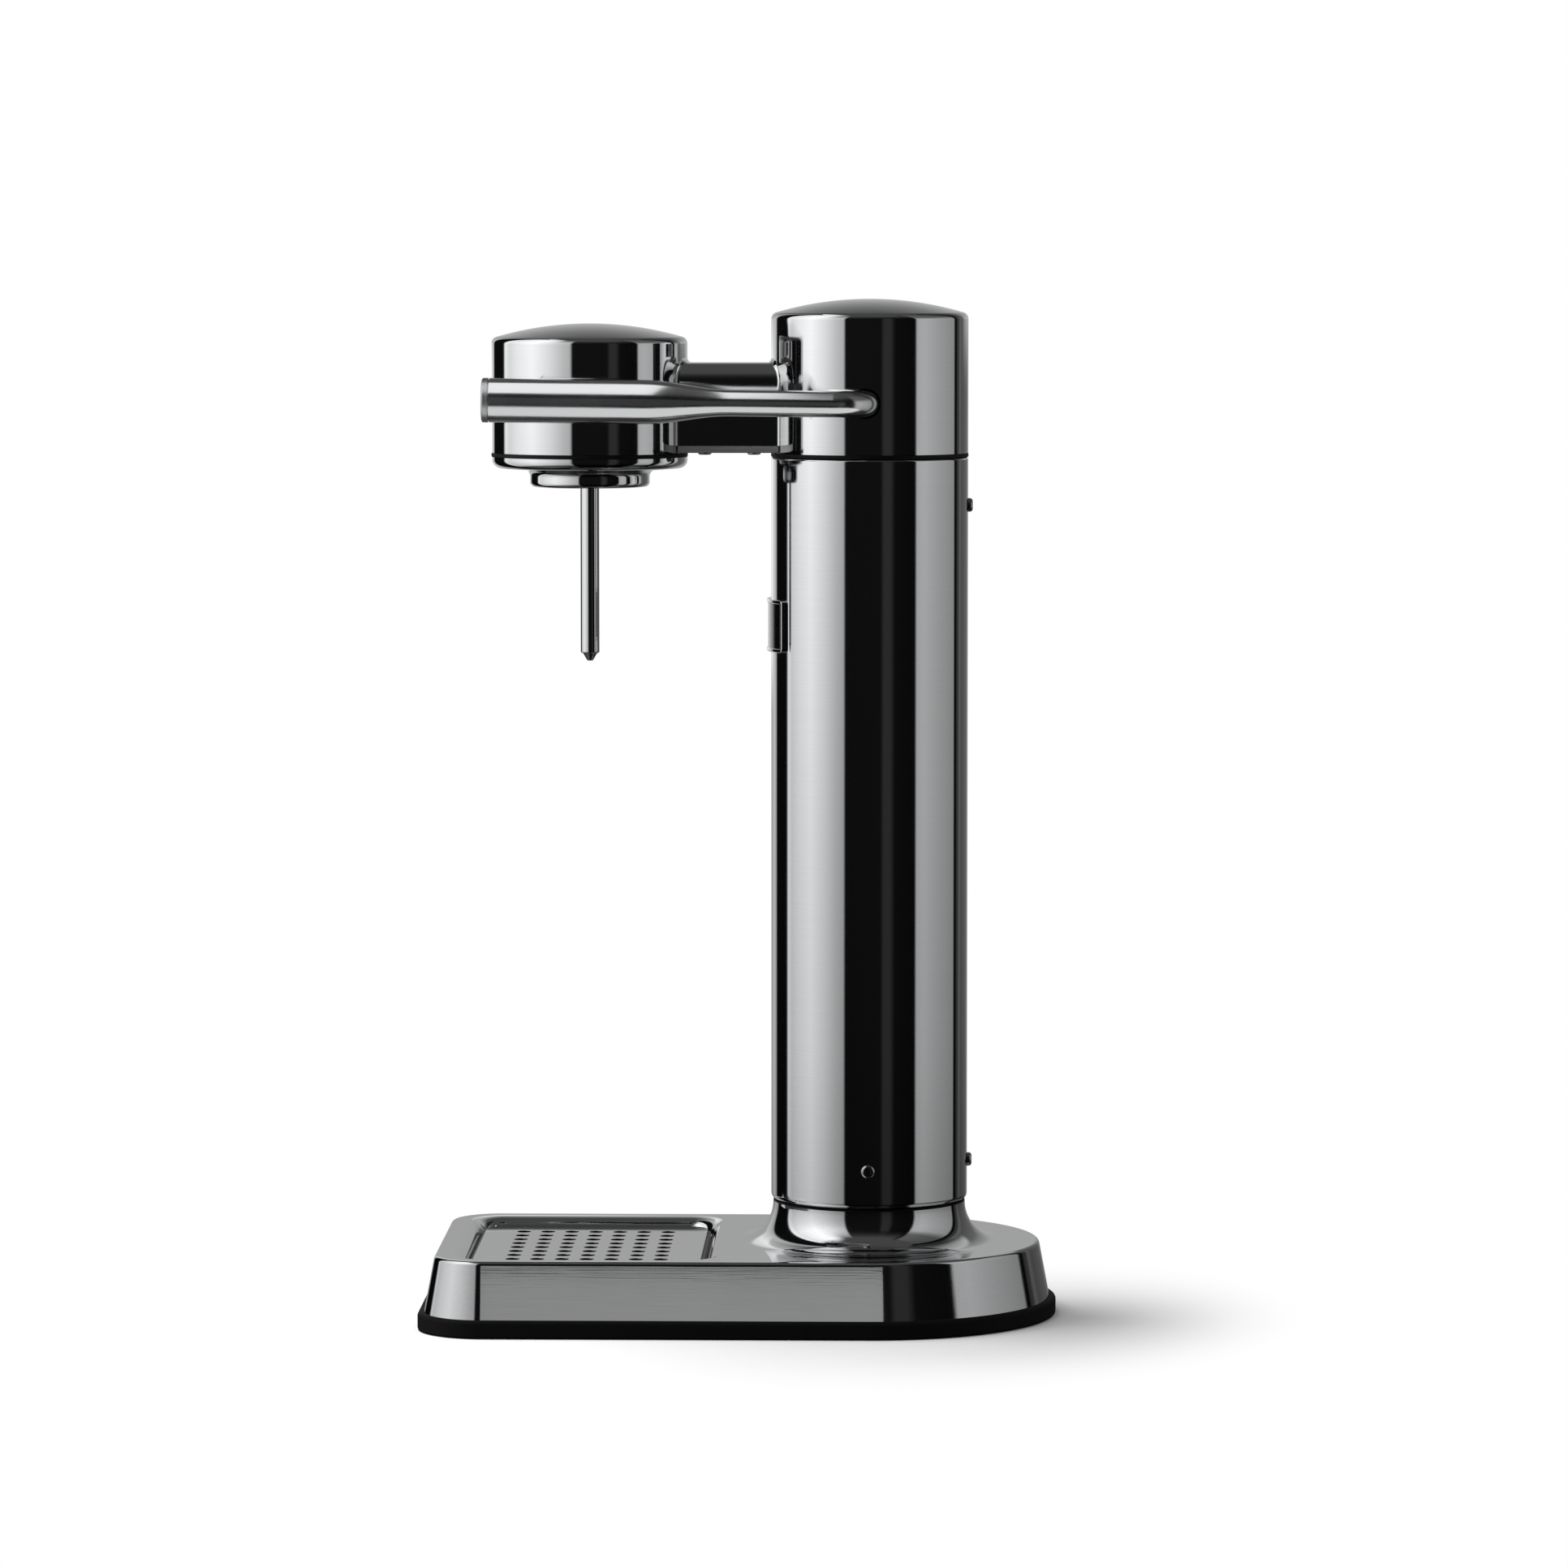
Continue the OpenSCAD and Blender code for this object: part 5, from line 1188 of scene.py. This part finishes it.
def buildWorld():
    world = bpy.data.worlds.new("studio_world")
    bpy.context.scene.world = world
    world.use_nodes = True
    world.cycles.sampling_method = "NONE"
    tree = world.node_tree
    tree.nodes.clear()
    direction = addNode(tree, "ShaderNodeTexCoord").outputs["Generated"]
    sources, share = dict(zip("xyz", addNode(tree, "ShaderNodeSeparateXYZ", Vector=direction).outputs)), {}
    for name, (source, start, end) in worldTurns.items():
        turn = {**easeIn, "From Min": start, "From Max": end}
        share[name] = addNode(tree, rangeNode, turn, Value=sources[source])
    # ceiling and the table's underside: dim, with the big left panel leaning in over the machine
    leftHigh = addNode(tree, mathNode, times, in0=share["left"], in1=share["high"])
    dim, bright, below = (evenGrey(greyLight(studio[key])) for key in ("overhead", "leaning", "below"))
    room = addNode(tree, mixNode, {"data_type": "RGBA", 6: below, 7: dim}, in0=share["horizon"]).outputs[2]
    room = addNode(tree, mixNode, {"data_type": "RGBA", 7: bright}, in0=leftHigh, in6=room).outputs[2]
    ray = addNode(tree, "ShaderNodeLightPath").outputs
    seen = addNode(tree, "ShaderNodeBackground", {"Color": white, "Strength": 1.0})
    mirrored = addNode(tree, "ShaderNodeBackground", {"Strength": studio["glow"]}, Color=room)
    plain = addNode(tree, "ShaderNodeBackground", {"Color": white, "Strength": studio["ambient"]})
    first = addNode(tree, "ShaderNodeMixShader", Fac=ray["Is Glossy Ray"], in1=plain, in2=mirrored)
    last = addNode(tree, "ShaderNodeMixShader", Fac=ray["Is Camera Ray"], in1=first, in2=seen)
    addNode(tree, "ShaderNodeOutputWorld", Surface=last)


# mirroredBy: only these pieces see the lamp, as a strip light close to them
# louvre: slats shut at this drop of the light's way and full at that one
leverPieces = ("lever_arm_bar", "lever_end_cap_turned")
lamps = {
    "left_window": {"place": (-0.65, 0.12, 1.75), "target": (0.05, 0, 0), "size": (0.85, 0.85), "watts": 32},
    "lever_strip_high": {"place": (-0.2, -0.24, 0.75), "target": (-0.2, -0.2401, 0), "size": (0.44, 0.55),
                         "watts": 0.93, "mirroredBy": leverPieces},
    "lever_strip_low": {"place": (0.0, -0.335, 0.05), "target": (0.0, -0.3351, 1), "size": (1.0, 0.51),
                        "watts": 1.5, "mirroredBy": leverPieces},
    "lever_card_front": {"place": (0.0, -0.54, 0.37), "target": (0.0, 0, 0.37), "size": (0.7, 0.3),
                         "watts": 0.03, "mirroredBy": leverPieces},
    "foot_card": {"place": (0.0005, -0.55, 0.109), "target": (0.0005, 0, 0.109), "size": (0.281, 0.045),
                  "watts": 0.0157, "mirroredBy": ("base_shell_sheet",), "louvre": (-0.176, -0.184)},
}


def aimAt(holder, place, direction):
    holder.location = place
    holder.rotation_euler = direction.to_track_quat("-Z", "Y").to_euler()


def addLamp(name, place, target, size, watts, mirroredBy=(), louvre=()):
    lamp = bpy.data.lights.new(name, "AREA")
    lamp.shape = "RECTANGLE"
    lamp.size, lamp.size_y = size
    lamp.energy = watts
    holder = addObject(name, lamp)
    aimAt(holder, place, Vector(target) - Vector(place))
    holder.visible_camera = False
    holder.visible_glossy = bool(mirroredBy)
    if mirroredBy:
        group = bpy.data.collections.new(name + "_pieces")
        for pieceName in mirroredBy:
            group.objects.link(bpy.data.objects[pieceName])
        holder.light_linking.receiver_collection = group
    if louvre:
        # light leaves only where it goes down steeply enough
        lamp.use_nodes = True
        tree = lamp.node_tree
        way = addNode(tree, "ShaderNodeNewGeometry").outputs["Incoming"]
        drop = addNode(tree, "ShaderNodeSeparateXYZ", Vector=way).outputs["Z"]
        share = addNode(tree, rangeNode, {"From Min": louvre[0], "From Max": louvre[1]}, Value=drop)
        addNode(tree, tree.nodes["Emission"], Strength=share)


view = {"place": (0.08489, -2.8049, 0.43817), "direction": (-0.02388, 0.99661, -0.0787), "lens": 158.53,
        "sensor": 36.0, "clip": 50.0}


def addCamera():
    camera = bpy.data.cameras.new("photo_camera")
    camera.lens, camera.sensor_width, camera.clip_end = view["lens"], view["sensor"], view["clip"]
    holder = addObject("photo_camera", camera)
    aimAt(holder, view["place"], Vector(view["direction"]))
    bpy.context.scene.camera = holder


buildFloor()
buildWorld()
buildTent()
for lampName, lampLook in lamps.items():
    addLamp(lampName, **lampLook)
addCamera()
bpy.context.scene.view_settings.view_transform = "Standard"
print("studio built")
